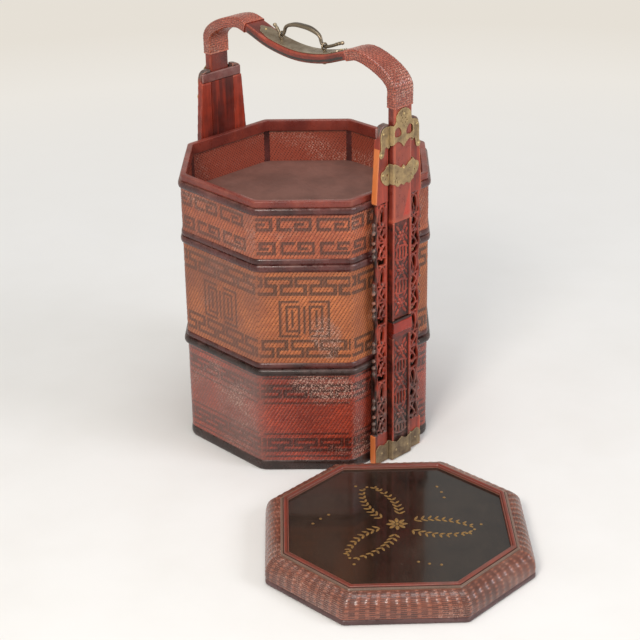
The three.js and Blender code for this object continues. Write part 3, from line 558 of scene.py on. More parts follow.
def weave_grid(side, low, high, offset, outwards, woven, draw_fret):
    """One side of a wall as a grid with its weave, from low to high, at an offset from the plan."""
    length = side_length(side, offset)
    columns = splints_on(side)
    rows = 2 * round((high - low) / STRAND) if woven else 1
    grid, u, v, i, j = flat_grid(columns, rows)
    s = u * length
    z = low + v * (high - low)
    strip = np.clip(1.4 - np.minimum(s, length - s), 0, 1)
    row = j // 2
    middle_row = (j % 2 == 1) & (rows > 1)
    dive = middle_row & ((i - row * outwards) % 3 == 0) & (strip < 0.5)
    mask = draw_fret(s, z, length) * (1 - strip) if draw_fret else np.zeros(len(s))
    mask = mask * np.where(i % 2 == 0, 1.0, 0.62)
    lift = np.where(dive, -0.85, np.where(middle_row, 0.38, -0.02))
    lift = np.where(strip > 0.5, 0.0, lift)
    lift = lift - 0.30 * mask * (lift > -0.5)
    ends = (j == 0) | (j == rows)
    lift = np.where(ends | (rows == 1), 0.0, lift)
    sunk = along_side(side, offset - outwards, u)
    proud = along_side(side, offset + outwards, u)
    share = ((lift + 1) / 2)[:, None]
    flat = sunk * (1 - share) + proud * share
    set_points(grid, np.column_stack([flat, z * MM]))
    float_tone = random.random((columns // 3 + 3, rows // 2 + 2))
    tone = float_tone[(i + row * 2) // 3 % float_tone.shape[0], row % float_tone.shape[1]]
    set_values(grid, "tone", tone)
    # Painted shade in the gaps: dark values where a splint dives, on the lines between the strands, and a
    # little on the plain strip at the corners.
    pit = np.where(dive, 0.58 + 0.42 * tone, np.where(j % 2 == 0, 0.22, 0.0))
    set_values(grid, "pit", np.where(strip < 0.5, pit, 0.34))
    set_values(grid, "fret", mask)
    set_values(grid, "strip", strip)
    set_values(grid, "inside", np.full(len(s), 0.0 if outwards > 0 else 1.0))
    # Painted glare: the slanting side and its neighbour on the left, and the end of the front side next to
    # them.
    faded = np.clip(1 - s / 22, 0, 1) if side == 7 else np.full(len(s), float(side in (5, 6)))
    set_values(grid, "faded", faded * (outwards > 0))
    # Painted glints: a patch on the front side, over the top of the bottom tray and the lower middle tray,
    # where the floats catch the light.
    breadth, level, spread = np.where(z[:, None] < 157, (46, 136, 34), (26, 212, 40)).T
    painted_glint_patch = np.exp(-((s - 0.74 * length) / breadth) ** 2 - ((z - level) / spread) ** 2) - 0.3
    set_values(grid, "rubbed", painted_glint_patch * (side == 7) * (outwards > 0))
    return grid


# %% [markdown]
# Eight sides outside, eight inside and the narrow strips between them, above and below, make one wall,
# with its doubles merged. The top tray stands open, so its wall is woven on the inside too.

# %% Woven walls


def edge_strip(side, height, outer, inner):
    """The narrow top or bottom face of a wall on one side."""
    strip, u, v, _, _ = flat_grid(splints_on(side), 1)
    flat = along_side(side, outer, u) * (1 - v[:, None]) + along_side(side, inner, u) * v[:, None]
    set_points(strip, np.column_stack([flat, np.full(len(u), height * MM)]))
    return strip


def woven_wall(low, high, draw_fret, inside_woven=False):
    clear_selection()
    grids = [weave_grid(side, low, high, OUTER, 1, True, draw_fret) for side in range(8)]
    grids += [weave_grid(side, low, high, INNER, -1, inside_woven, None) for side in range(8)]
    grids += [edge_strip(side, height, OUTER, INNER) for side in range(8) for height in (low, high)]
    wall = join_pieces(grids)
    face_outwards(wall, 2e-5)
    smooth(wall, 60)
    return wall


top_wall = woven_wall(338.9, 404.0, top_fret, inside_woven=True)
finish_piece(top_wall, "top_bamboo_wall", "top_tray", "orange_weave", orange_weave, "top_woven_wall")
middle_wall = woven_wall(176.6, 319.0, middle_fret)
finish_piece(middle_wall, "middle_bamboo_wall", "middle_tray", "pale_weave", pale_weave,
             "middle_woven_wall")
bottom_wall = woven_wall(16.3, 156.7, bottom_fret)
finish_piece(bottom_wall, "bottom_bamboo_wall", "frame_and_bottom_tray", "red_weave", red_weave,
             "bottom_woven_wall")

# %% [markdown]
# A ring round the octagon is made the way a joiner would see it: a circle with a few vertices for each
# corner is put on the plan, extruded once for each point of the section, and bridged back to its start.

# %% Octagonal ring


def by_angle(items, place_of=lambda item: item):
    """Sort points, or things that have a place, by their direction from the origin."""
    return sorted(items, key=lambda item: math.atan2(place_of(item)[1], place_of(item)[0]))


def octagon_ring(section, corner_radius=3 * MM):
    """A closed ring from its section, a list of (offset, height) in millimetres."""
    clear_selection()
    loops = [by_angle(rounded_plan(o * MM, corner_radius)) for o, _ in section]
    bpy.ops.mesh.primitive_circle_add(vertices=len(loops[0]), radius=HALF)
    piece = bpy.context.object
    bpy.ops.object.mode_set(mode="EDIT")
    bpy.ops.mesh.select_mode(type="EDGE")
    for i, (_, height) in enumerate(section):
        if i:
            bpy.ops.mesh.extrude_edges_move()
        mesh = bmesh.from_edit_mesh(piece.data)
        chosen = by_angle([v for v in mesh.verts if v.select], lambda v: v.co)
        for vertex, place in zip(chosen, loops[i]):
            vertex.co = (place[0], place[1], height * MM)
        bmesh.update_edit_mesh(piece.data)
    mesh = bmesh.from_edit_mesh(piece.data)
    for edge in mesh.edges:
        edge.select_set(edge.is_boundary or edge.is_wire)
    bmesh.update_edit_mesh(piece.data)
    bpy.ops.mesh.bridge_edge_loops()
    bpy.ops.object.mode_set(mode="OBJECT")
    face_outwards(piece)
    return piece


# %% [markdown]
# Wear sits where a surface stands out. A function marks how far each vertex stands out from its
# neighbours: worn lacquer is rubbed pale there, and where the value is negative the materials lay a dark
# tone, which on brass is patina and on lacquer is grime together with painted shade. The materials above
# read it. A few rounds of averaging spread it over the faces beside an edge.

# %% Wear on the edges


def mark_wear(piece, spread=2, keep=1.0, extra=0.0):
    """Mark how far each vertex stands out, as the sine of the bend. Keep says how much of it is rubbed."""
    mesh = piece.data
    points = get_points(piece)
    count = len(mesh.vertices)
    normals = np.empty(count * 3)
    mesh.vertex_normals.foreach_get("vector", normals)
    normals = normals.reshape(-1, 3)
    ends = np.empty(len(mesh.edges) * 2, dtype=int)
    mesh.edges.foreach_get("vertices", ends)
    a, b = ends.reshape(-1, 2).T
    run = points[b] - points[a]
    run /= np.maximum(np.linalg.norm(run, axis=1), 1e-9)[:, None]
    total = np.zeros(count)
    links = np.zeros(count)
    np.add.at(total, a, -(run * normals[a]).sum(axis=1))
    np.add.at(total, b, (run * normals[b]).sum(axis=1))
    np.add.at(links, a, 1)
    np.add.at(links, b, 1)
    wear = total / np.maximum(links, 1)
    for _ in range(spread):
        around = np.zeros(count)
        np.add.at(around, a, wear[b])
        np.add.at(around, b, wear[a])
        wear = 0.5 * wear + 0.5 * around / np.maximum(links, 1)
    set_values(piece, "wear", np.where(wear > 0, wear * keep, wear) + extra)


# %% [markdown]
# Rails of bent wood bind the walls above and below. Each is a rounded strip, so a line of light lies
# along it and a dark line between it and the next one. The base band and the shoulder of the bottom
# tray are heavier and darker. Bamboo and wood bend round the corners, and more so at the base.

# %% Rails and rim


def beads(inner, outer, low, high, count, bulge=1.5):
    """Section of a rail with rounded strips one above the other and a fine groove between them."""
    points = [(inner, low)]
    pitch = (high - low) / count
    for i in range(count):
        middle = low + pitch * (i + 0.5)
        for angle in (-78, -52, -26, 0, 26, 52, 78):
            tilt = math.radians(angle)
            back = bulge * (1 - math.cos(tilt)) / (1 - math.cos(math.radians(78)))
            points.append((outer - back,
                           middle + 0.49 * pitch * math.sin(tilt) / math.sin(math.radians(78))))
    return points + [(inner, high)]


def rail(name, body, slot, material, node, section, corner_radius=21 * MM):
    piece = octagon_ring(section, corner_radius)
    smooth(piece, 35)
    mark_wear(piece, 0, 0.45)
    return finish_piece(piece, name, body, slot, material, node)


rail("base_band_strips", "frame_and_bottom_tray", "dark_lacquer", dark_lacquer, "base_band",
     beads(-6.0, 0.5, 0.0, 16.0, 1, 1.8)[:-1] + [(-2.0, 16.0), (-6.0, 16.0)], 24 * MM)
rail("bottom_shoulder_strips", "frame_and_bottom_tray", "dark_lacquer", dark_lacquer,
     "bottom_shoulder_rail", beads(-6.0, 4.5, 157.0, 167.0, 1, 2.4), 24 * MM)
for level, body, low, high in (("middle", "middle_tray", 167.3, 319.3), ("top", "top_tray", 329.6, 404.3)):
    rail(f"{level}_lower_strips", body, "brown_lacquer", rail_lacquer, f"{level}_lower_rail",
         beads(-6.0, 1.0, low, low + 9.0, 1, 1.5))
    rail(f"{level}_shoulder_strips", body, "brown_lacquer", rail_lacquer, f"{level}_shoulder_rail",
         beads(-6.0, 2.5, high, high + 10.0, 1, 1.7))
rim = octagon_ring([(-10.0, 407.0), (-6.3, 407.0), (-6.3, 414.6), (-1.5, 414.6), (-1.5, 424.0),
                    (-10.0, 424.0)], 12 * MM)
apply_modifier(rim, "BEVEL", width=0.9 * MM, segments=3, limit_method="ANGLE", angle_limit=math.radians(60))
smooth(rim, 35)
mark_wear(rim, 0, 0.6)
finish_piece(rim, "rim_of_the_open_tray", "top_tray", "red_lacquer", rim_lacquer, "top_rim")

# %% [markdown]
# The two uprights are pierced and carved. A carver leaves rounded strands that loop, twist and end in
# curled tips, all cut from one board. Here each strand is a thin tube along a path, and each tip a
# small egg, which a tilt turns in the plane of the carving.

# %% Strands and tips
WING_BACK = 179.8
WING_FRONT = 190.3


def strand(points, radius, depth=1.0, closed=False):
    """A round strand through points (x, y, z) in millimetres. Depth stretches its section along x."""
    bpy.ops.curve.primitive_nurbs_path_add()
    path = bpy.context.object
    spline = path.data.splines[0]
    spline.points.add(len(points) - len(spline.points))
    for point, place in zip(spline.points, points):
        point.co = (*(c * MM for c in place), 1.0)
    spline.use_cyclic_u = closed
    spline.use_endpoint_u = not closed
    spline.order_u = 3
    spline.resolution_u = 3
    path.data.dimensions = "3D"
    path.data.bevel_depth = radius * MM
    path.data.bevel_resolution = 2
    path.data.use_fill_caps = True
    bpy.ops.object.convert(target="MESH")
    piece = bpy.context.object
    if depth != 1.0:
        places = get_points(piece)
        middle = np.mean([p[0] for p in points]) * MM
        places[:, 0] = middle + (places[:, 0] - middle) * depth
        set_points(piece, places)
    return piece


def tip(place, size, tilt=0.0):
    """An egg-shaped knob, with its size along x, y and z, tilted in the plane of the wing."""
    bpy.ops.mesh.primitive_ico_sphere_add(subdivisions=2, radius=1.0)
    piece = bpy.context.object
    places = get_points(piece) * np.array(size)
    turned = places.copy()
    turned[:, 1] = places[:, 1] * math.cos(tilt) - places[:, 2] * math.sin(tilt)
    turned[:, 2] = places[:, 1] * math.sin(tilt) + places[:, 2] * math.cos(tilt)
    set_points(piece, (turned + np.array(place)) * MM)
    return piece


# %% [markdown]
# The plain top and foot of a wing are plates, outlines pushed out to their thickness. Then all the parts
# are joined, and a voxel remesh melts them into one skin as if carved from the solid, which a smoothing
# pass rounds as old lacquer does. The skin is held within the space that the real board fills.

# %% Plates and carving


def plate(outline, back, front):
    """A flat plate from an outline of (y, z), between two values of x. All in millimetres."""
    bpy.ops.mesh.primitive_circle_add(vertices=len(outline), radius=1.0, fill_type="NGON")
    piece = bpy.context.object
    set_points(piece, [(back * MM, y * MM, z * MM) for y, z in outline])
    with editing(piece):
        bpy.ops.mesh.extrude_region_move(TRANSFORM_OT_translate={"value": ((front - back) * MM, 0, 0)})
        bpy.ops.mesh.select_all(action="SELECT")
        bpy.ops.mesh.normals_make_consistent(inside=False)
    return piece


def box_outline(y0, z0, y1, z1):
    return [(y0, z0), (y1, z0), (y1, z1), (y0, z1)]


def carve(parts, voxel, rounds, *ranges):
    """Melt the parts into one skin, held within ranges of x, y and z, and give its places too."""
    piece = join_pieces(parts)
    apply_modifier(piece, "REMESH", mode="VOXEL", voxel_size=voxel * MM, adaptivity=0.0)
    apply_modifier(piece, "SMOOTH", factor=0.5, iterations=rounds)
    low, high = np.array(ranges).T * MM
    places = np.clip(get_points(piece), low, high)
    set_points(piece, places)
    smooth(piece, 180)
    return piece, places


# %% [markdown]
# The front and back uprights are the same work turned half round, and the two wings of an upright mirror
# each other, so each piece is modelled once and copied, and each copy has its own mesh.

# %% Copies for the other end and the other side
ROOT = "frame_and_bottom_tray"


def copy_of(piece, change_of_place):
    select_only(piece)
    bpy.ops.object.duplicate()
    copy = bpy.context.object
    copy.data.transform(change_of_place)
    return copy


def other_side(piece):
    """A mirrored copy for the wing on the other side of the same upright."""
    copy = copy_of(piece, Matrix.Scale(-1, 4, Vector((0, 1, 0))))
    copy.data.flip_normals()
    return copy


def finish_both_ends(piece, name, slot, material, node):
    """Copy a piece of the front upright to the back, and finish both."""
    copy = copy_of(piece, Matrix.Rotation(math.pi, 4, "Z"))
    for end, made in (("front", piece), ("back", copy)):
        finish_piece(made, f"{end}_{name}", ROOT, slot, material, f"{end}_{node}")
    return copy


# %% [markdown]
# One unit of the openwork is 92 mm high and comes four times on each wing: a long oval loop with a thin
# stem in it, below it two strands that twist round each other, and along the outer edge a waving
# leaf whose curled tips stand out. A straight border runs along the channel beside the middle boards.

# %% One unit of the openwork
OPENWORK_LOW = 46.0
OPENWORK_TOP = 414.0
UNIT = 92.0
LINE = 32.5


def openwork_unit(z):
    middle = 0.5 * (WING_BACK + WING_FRONT)
    loop = [(middle, LINE + 6.2 * math.cos(t), z + 70 + 16 * math.sin(t))
            for t in np.linspace(0, 2 * math.pi, 12, endpoint=False)]
    stem = [(middle - 1, LINE + 1.6 * math.sin(t * 5), z + 58 + 24 * t) for t in np.linspace(0, 1, 6)]
    parts = [strand(loop, 2.0, 2.3, closed=True), strand(stem, 1.1, 2.6)]
    for phase in (0.0, math.pi):
        lean = 0.9 * math.cos(phase)
        twist = [(middle + lean, LINE + 5.4 * math.sin(3 * math.pi * t + phase), z + 4 + 50 * t)
                 for t in np.linspace(0, 1, 12)]
        parts.append(strand(twist, 1.9, 2.1))
    leaf = [(middle, 42.6 + 1.9 * math.sin(2 * math.pi * t * 2), z + UNIT * t)
            for t in np.linspace(-0.02, 1.02, 14)]
    parts.append(strand(leaf, 2.6, 1.85))
    curl = [(middle + 0.4, 42 + (7.0 - 3.4 * t) * math.cos(4.2 * t + 0.4) * 0.55,
             z + 47 + (7.0 - 3.4 * t) * math.sin(4.2 * t + 0.4)) for t in np.linspace(0, 1, 8)]
    parts.append(strand(curl, 1.7, 2.4))
    for rise, out, size in ((12, 46.4, 2.3), (22, 46.8, 2.7), (33, 46.6, 2.4), (48, 46.8, 2.9),
                            (60, 46.0, 2.2)):
        parts.append(tip((middle + 0.6, out, z + rise), (3.6, size * 0.85, size * 1.35), 0.6))
    for rise in (6, 29, 54, 86):
        bar = [(middle, y, z + rise + 0.12 * (y - 24)) for y in np.linspace(24, 43, 5)]
        parts.append(strand(bar, 1.5, 2.6))
    return parts


# %% [markdown]
# A wing is four units above each other between a plain foot and a plain, rounded top, with a border along
# the inner edge. After the carving its wear is marked: wood shows bare along the outer edge of the plain
# places, and the foot and the tip turn grey. A grey tone along the curled outer edge is painted sheen, and
# painted shade darkens the deep parts of the openings and the band behind the outer tips.

# %% A carved wing


def wing():
    clear_selection()
    shoulder = [(39 - 12 * (1 - math.cos(t)), 525 - 12 * (1 - math.sin(t)))
                for t in np.linspace(0, math.pi / 2, 6)]
    top_outline = [(22, 412), (46.2, 412)] + shoulder + [(22, 525)]
    share = (505.5 - 412) / (513 - 412)
    back_outline = [(22, 412), (46.2, 412), (46.2 - 7.2 * share, 505.5), (22, 505.5)]
    above_strip = [p for p in shoulder if p[1] > 520.4] + [(22, 525), (22, 520.4), (37.3, 520.4)]
    parts = [plate(top_outline, 184.4, WING_FRONT), plate(back_outline, WING_BACK, 185.5),
             plate(above_strip, WING_BACK, 185.5),
             plate(box_outline(22, 0, 49, OPENWORK_LOW + 2), WING_BACK, WING_FRONT),
             plate(box_outline(22, OPENWORK_LOW, 25.8, OPENWORK_TOP), WING_BACK + 0.3, WING_FRONT - 0.5),
             strand([(187, y, 414 + 1.5 * math.sin(y)) for y in np.linspace(24, 44, 6)], 2.4, 1.3),
             strand([(187, y, 46.5 - 1.5 * math.sin(y)) for y in np.linspace(24, 46, 6)], 2.4, 1.3)]
    for n in range(4):
        parts += openwork_unit(OPENWORK_LOW + UNIT * n)
    piece, places = carve(parts, 1.05, 3, (WING_BACK, WING_FRONT + 0.1), (22, 49.6), (0, 525))
    mark_wear(piece, 2, 0.7)
    across, height = places[:, 1] / MM, places[:, 2] / MM
    edge = np.where(height < 48, 49, np.interp(height, (412, 513), (46.2, 39)))
    plain = (height < 48) | ((height > 413) & (height < 492))
    set_values(piece, "bare", plain * np.clip((across - edge + 1.6) / 0.8, 0, 1))
    # The foot and the tip turn grey. The grey along the curled outer edge is painted sheen, where light
    # catches the edges of the scrolls.
    greyer_foot = np.clip((165 - height) / 60, 0, 1) * 0.5
    painted_sheen_edge = np.clip(across - 45.6, 0, 1) * 0.9
    greyer_tip = np.clip((height - 500) / 16, 0, 1) * 0.75
    set_values(piece, "greyed", greyer_tip + ~plain * np.maximum(greyer_foot, painted_sheen_edge))
    # Painted shade: the deep parts of the openings and the band behind the outer tips get the dark tone.
    shade_deep_in = np.clip((187 - places[:, 0] / MM) / 3, 0, 1) * (across < 44)
    outer = np.clip((across - 42) / 2, 0, 1) * (across < 46.2)
    set_values(piece, "painted_shade", np.where(plain | (height > 490), 0, np.maximum(shade_deep_in * 0.85, outer * 0.7)))
    return piece


# %% [markdown]
# The boards between the wings are carved in low relief: a sunk field between two raised borders. In the
# field are, at three heights, a blossom of petals with two pairs of leaves, and between them four ribs
# that end under an arc. A smooth bright block parts the upper board from the lower one.

# %% Boards between the wings
BOARD_BACK = 184.3


def blossom(z, x):
    parts = [tip((x + 1.4, 0, z), (2.2, 2.5, 2.5))]
    for k in range(6):
        t = math.pi * k / 3
        petal = (x + 0.5, 5.0 * math.cos(t), z + 5.6 * math.sin(t))
        parts.append(tip(petal, (2.2, 2.3, 3.1), t - math.pi / 2))
    for side in (-1, 1):
        for rise, tilt in ((-13, 0.7), (13, -0.7)):
            parts.append(tip((x, side * 7.5, z + rise), (1.9, 2.4, 6.2), side * tilt))
            parts.append(tip((x, side * 11, z + rise * 0.45), (1.7, 1.7, 4.6), side * tilt * 0.6))
    return parts


def centre_board(low, high, blossoms, window=None):
    clear_selection()
    sunk = 194.2
    parts = [plate(box_outline(-19, low, 19, high), BOARD_BACK, sunk)]
    for edge in (-19, 15.2):
        parts.append(plate(box_outline(edge, low, edge + 3.8, high), BOARD_BACK, 197.3))
    heights = [low] + blossoms + [high]
    for a, b in zip(heights, heights[1:]):
        start = a + (17 if a != low else (window or 4))
        end = b - (17 if b != high else 4)
        if end - start > 9:
            for y in (-9.5, -3.2, 3.2, 9.5):
                rib = [(sunk + 0.3, y + 0.5 * math.sin(t * 9 + y), start + (end - start) * t)
                       for t in np.linspace(0, 1, 8)]
                parts.append(strand(rib, 1.7, 1.25))
            for height, way in ((end, 1), (start, -1)):
                arc = [(sunk + 0.5, y, height + way * (2 - y * y / 40)) for y in np.linspace(-13, 13, 7)]
                parts.append(strand(arc, 1.5))
    for z in blossoms:
        parts += blossom(z, sunk)
    piece, places = carve(parts, 0.95, 2, (BOARD_BACK, 197.4), (-19, 19), (low, high))
    mark_wear(piece, 2, 0.75)
    # Painted shade: the side faces of the board and its sunk field get the dark tone, where shade falls.
    side_face = (abs(places[:, 1]) > 18.6 * MM) & (places[:, 0] < 196.4 * MM)
    sunk_field = (abs(places[:, 1]) < 15 * MM) & (places[:, 0] < 194.8 * MM)
    set_values(piece, "painted_shade", side_face * 0.62 + sunk_field * 0.55)
    # The middle of the board turns greyer towards its foot.
    greyer_foot = np.clip((120 * MM - places[:, 2]) / (60 * MM), 0, 1)
    set_values(piece, "greyed", greyer_foot * (abs(places[:, 1]) < 16 * MM) * 0.6)
    return piece


# %% [markdown]
# The parting block is one piece with three steps: a foot, a bright band that stands out most, and a top
# step; its side faces, the foot and the top step are painted dark as shade. Then the right wing is
# mirrored, and all five pieces are copied to the back upright.

# %% Parting block, and both uprights


def separator_block():
    """A bright band that stands out between a stepped foot and a stepped top, with painted shade on those
    steps and the sides.
    """
    clear_selection()
    tiers = [plate(box_outline(-19, low, 19, high), BOARD_BACK, front)
             for low, high, front in ((200, 209, 197.0), (208, 224.6, 199.3), (224, 228, 197.4))]
    block, places = carve(tiers, 0.7, 1, (184, 200), (-19, 19), (200, 228))
    mark_wear(block, 1, 0.35)
    side_face = (abs(places[:, 1]) > 18.6 * MM) & (places[:, 0] < 198.5 * MM)
    height = places[:, 2] / MM
    # Painted shade on the side faces, the top step and the foot.
    painted_shade = [side_face * 0.6, (height > 225.4) * 0.8, (height < 208) * 0.5]
    set_values(block, "painted_shade", np.max(painted_shade, axis=0))
    return block


right = wing()
left = other_side(right)
upper = centre_board(228.3, 379.7, [252.0, 304.0, 356.0])
lower = centre_board(0.0, 199.7, [72.0, 126.0, 176.0], window=42)
block = separator_block()
pairs = [(right, "right_carved_wing", "red_lacquer", red_lacquer, "right_wing"),
         (left, "left_carved_wing", "red_lacquer", red_lacquer, "left_wing"),
         (upper, "upper_relief_board", "red_lacquer", red_lacquer, "upper_carved_board"),
         (lower, "lower_relief_board", "red_lacquer", red_lacquer, "lower_carved_board"),
         (block, "parting_block", "bright_red_lacquer", bright_lacquer, "separator_block")]
for pair in pairs:
    copy = finish_both_ends(*pair)
    set_values(copy, "bare", np.zeros(len(copy.data.vertices)))

# %% [markdown]
# The handle is one strip of wood, steamed and bent. Its middle line is a smooth curve through a few
# places: a shallow dip in the middle for the bail, a hump on each side, and legs that run down into the
# uprights. A ring with rounded corners is swept along it, as the spin and bridge tools would do by hand
# at every bend. The curve rule is centripetal, which does not overshoot between uneven points.

# %% Smooth lines


def curve_through(points, steps_between, closed=False):
    """A smooth line through points, by the centripetal Catmull-Rom rule."""
    p = np.array(points, dtype=float)
    if closed:
        p = np.vstack([p[-1:], p, p[:2]])
    else:
        p = np.vstack([2 * p[:1] - p[1:2], p, 2 * p[-1:] - p[-2:-1]])
    line = []
    for a, b, c, d in zip(p, p[1:], p[2:], p[3:]):
        d0, d1, d2 = (max(np.linalg.norm(v - u), 1e-6) ** 0.5 for u, v in ((a, b), (b, c), (c, d)))
        start = ((b - a) / d0 - (c - a) / (d0 + d1) + (c - b) / d1) * d1
        end = ((c - b) / d1 - (d - b) / (d1 + d2) + (d - c) / d2) * d1
        for t in np.arange(steps_between) / steps_between:
            line.append(b + start * t + (3 * (c - b) - 2 * start - end) * t ** 2
                        + (2 * (b - c) + start + end) * t ** 3)
    if not closed:
        line.append(p[-2])
    return np.array(line)


def distances(line):
    """How far along a line each of its points is."""
    return np.concatenate([[0], np.cumsum(np.linalg.norm(np.diff(line, axis=0), axis=1))])


def evenly(line, spacing):
    """The same line with places at an even spacing."""
    line = np.array(line)
    length = distances(line)
    places = np.linspace(0, length[-1], max(round(length[-1] / spacing), 2) + 1)
    return np.column_stack([np.interp(places, length, line[:, k]) for k in range(line.shape[1])])


def evenly_round(count, outline, *others):
    """A closed outline as count evenly spaced places, and other values of its points at those places."""
    length = distances(np.vstack([outline, outline[:1]]))
    places = np.arange(count) / count * length[-1]
    return [np.column_stack([np.interp(places, length, np.append(a[:, k], a[0, k])) for k in (0, 1)])
            for a in (outline, *others)]


# %% [markdown]
# A bar is swept along a line: a flat grid is wrapped round it, one row for each place of the section, and
# the first and last row are merged. Values for a material can be given for every vertex of it.

# %% Bars swept along a line


def bar_section(width, depth, radius, count):
    """Evenly spaced places round a bar's section, and the directions outwards there."""
    turn = np.linspace(0, 2 * math.pi, 401)
    right = np.where((turn < math.pi / 2) | (turn > 3 * math.pi / 2), 1, -1)
    upper = np.where(turn < math.pi, 1, -1)
    ring = np.column_stack([right * (width / 2 - radius) + radius * np.cos(turn),
                            upper * (depth / 2 - radius) + radius * np.sin(turn)])
    return evenly_round(count, ring, np.column_stack([np.cos(turn), np.sin(turn)]))


def sweep(line, rings, values=None, capped=True):
    """A tube along a line of (x, z), with a ring of (across, outwards) for each of its places."""
    clear_selection()
    line = np.array(line)
    rings = np.array(rings)
    run = np.gradient(line, axis=0)
    run /= np.linalg.norm(run, axis=1)[:, None]
    outwards = np.column_stack([-run[:, 1], run[:, 0]])
    around = rings.shape[1]
    tube, _, _, i, j = flat_grid(len(line) - 1, around)
    j %= around
    across, lift = rings[i, j, 0], rings[i, j, 1]
    flat = line[i] + outwards[i] * lift[:, None]
    set_points(tube, np.column_stack([flat[:, 0], across, flat[:, 1]]) * MM)
    for name, table in (values or {}).items():
        set_values(tube, name, table[i, j])
    face_outwards(tube)
    if capped:
        with editing(tube):
            bpy.ops.mesh.fill_holes(sides=0)
            bpy.ops.mesh.normals_make_consistent(inside=False)
    return tube


# %% [markdown]
# The line of the handle: the arch is drawn for one half and mirrored, and straight legs go down from it.
# The lower half of the dip's sides is painted dark as shade, the front leg's outer face is painted a
# little lighter as a highlight, and the front leg's lower part has a bright patch with a slanting edge.

# %% Bentwood handle
LEG_X = 190.8
LEG_FOOT = 380
half_arch = [(0, 581), (56.6, 587.8), (100.6, 601.8), (125.8, 607), (173.8, 591), (189.8, 576),
             (LEG_X, 557)]
arch = curve_through([(-x, z) for x, z in half_arch[:0:-1]] + half_arch, 8)
legs_down = [(-LEG_X, z) for z in np.arange(LEG_FOOT, 556, 8)]
legs_up = [(LEG_X, z) for z in np.arange(548, LEG_FOOT - 1, -8)]
handle_line = np.vstack([legs_down, arch, legs_up])
handle_line[0, 1] = handle_line[-1, 1] = LEG_FOOT
ring = bar_section(36, 13, 3, 44)[0]
handle = sweep(handle_line, [ring] * len(handle_line))
smooth(handle, 40)
places = get_points(handle) / MM
below = np.interp(places[:, 0], arch[:, 0], arch[:, 1]) - places[:, 2]
front_leg = (places[:, 0] > 196) & (places[:, 2] > 384) & (places[:, 2] < 560)
# Painted highlight: extra wear on the front leg's outer face makes it lighter. Painted shade: the lower half
# of the dip's sides gets the dark tone.
mark_wear(handle, 0, 0.8, front_leg * 0.10)
set_values(handle, "painted_shade", (abs(places[:, 0]) < 100) * np.clip((below + 0.8) / 1.6, 0, 1) * 0.9)
slant = places[:, 1] - 1 - (places[:, 2] - 392) * 0.32
set_values(handle, "greyed", front_leg * np.clip(slant / 3, 0, 1) * 0.9)
finish_piece(handle, "bentwood_handle_strip", ROOT, "red_lacquer", handle_lacquer, "bentwood_handle")

# %% [markdown]
# Over each shoulder of the handle the wood is wrapped in lacquered cane, plaited as a herringbone: flat
# strips 3.4 mm wide pass over two and under two, one further along in each row, and the slant turns
# round at the middle. The sleeve is a swept ring with three vertices for each strip, so grooves and
# floats are real, and Solidify gives it the thickness of the cane.

# %% Line and section of the cane wraps
CANE = 3.4
AROUND = 96
shoulder_line = evenly([p for p in handle_line if p[0] > 90], 0.5)
shoulder_line = shoulder_line[(shoulder_line[:, 0] >= 103.2) & (shoulder_line[:, 1] >= 546.2)]
wrap_line = evenly(shoulder_line, CANE / 3)
ring, outward = bar_section(38.5, 15.5, 2.6, AROUND)
i, j = np.meshgrid(np.arange(len(wrap_line)), np.arange(AROUND), indexing="ij")
slant = np.where(ring[j, 0] > 0, 1, -1)
print(len(wrap_line) // 3, "rows of", AROUND // 3, "strips")

# %% [markdown]
# Three vertices make a strip, so every third row and column of them can be a groove. It is one where a
# strip ends or dives, which depends on the strips before it and beside it.

# %% Plait of the cane


def runs_along(cell_i, cell_j):
    """Whether the strip that runs along the handle is the one on top."""
    return (cell_i + slant * cell_j) % 4 < 2


along = runs_along(i // 3, j // 3)
ends_before = (i % 3 == 0) & ~runs_along(i // 3 - 1, j // 3)
dives_beside = (j % 3 == 0) & runs_along(i // 3, j // 3 - 1)
groove = np.where(along, (j % 3 == 0) | ends_before, (i % 3 == 0) | dives_beside)
groove &= (i > 1) & (i < len(wrap_line) - 2)
lift = np.where(groove, -0.32, 0.22)
tones = random.random((60, 40))[(i + 1) // 3 % 60, (j + 1) // 3 % 40]
edge_of_bar = np.clip(abs(outward[j, 0] * outward[j, 1]) * 2, 0, 1)
underneath = np.clip(-outward[j, 1], 0, 1)
# Painted shade: the grooves between the strips get a dark value.
values = {"tone": tones, "pit": groove * 0.62, "strip": np.maximum(edge_of_bar * 0.9, 0.55) * underneath}
cane_wrap = woven_bamboo("herringbone_cane_wrap", "#CB6A50", "#A4422C", "#6E2819", "#2C100B", "#5A3426",
                         0.26, 0.45, painted_glints=0.9, proud="#CE6A44")
wrap_rings = [ring + outward * lift[k][:, None] for k in range(len(wrap_line))]
front_wrap = sweep(wrap_line, wrap_rings, values, capped=False)
apply_modifier(front_wrap, "SOLIDIFY", thickness=0.9 * MM, offset=-1.0)
smooth(front_wrap, 60)
finish_both_ends(front_wrap, "plaited_cane", "cane", cane_wrap, "cane_wrap")

# %% [markdown]
# Brass that nobody polishes turns olive and brown. It is a metal under a thin dull skin, so part of it is
# metallic and part is not, it is rough, and it is bright and yellow only where hands and cloth rub its
# edges. Spots of 2 mm and clouds of 20 mm break up the tone. The bail is darker, like old bronze.

# %% Aged brass and bronze


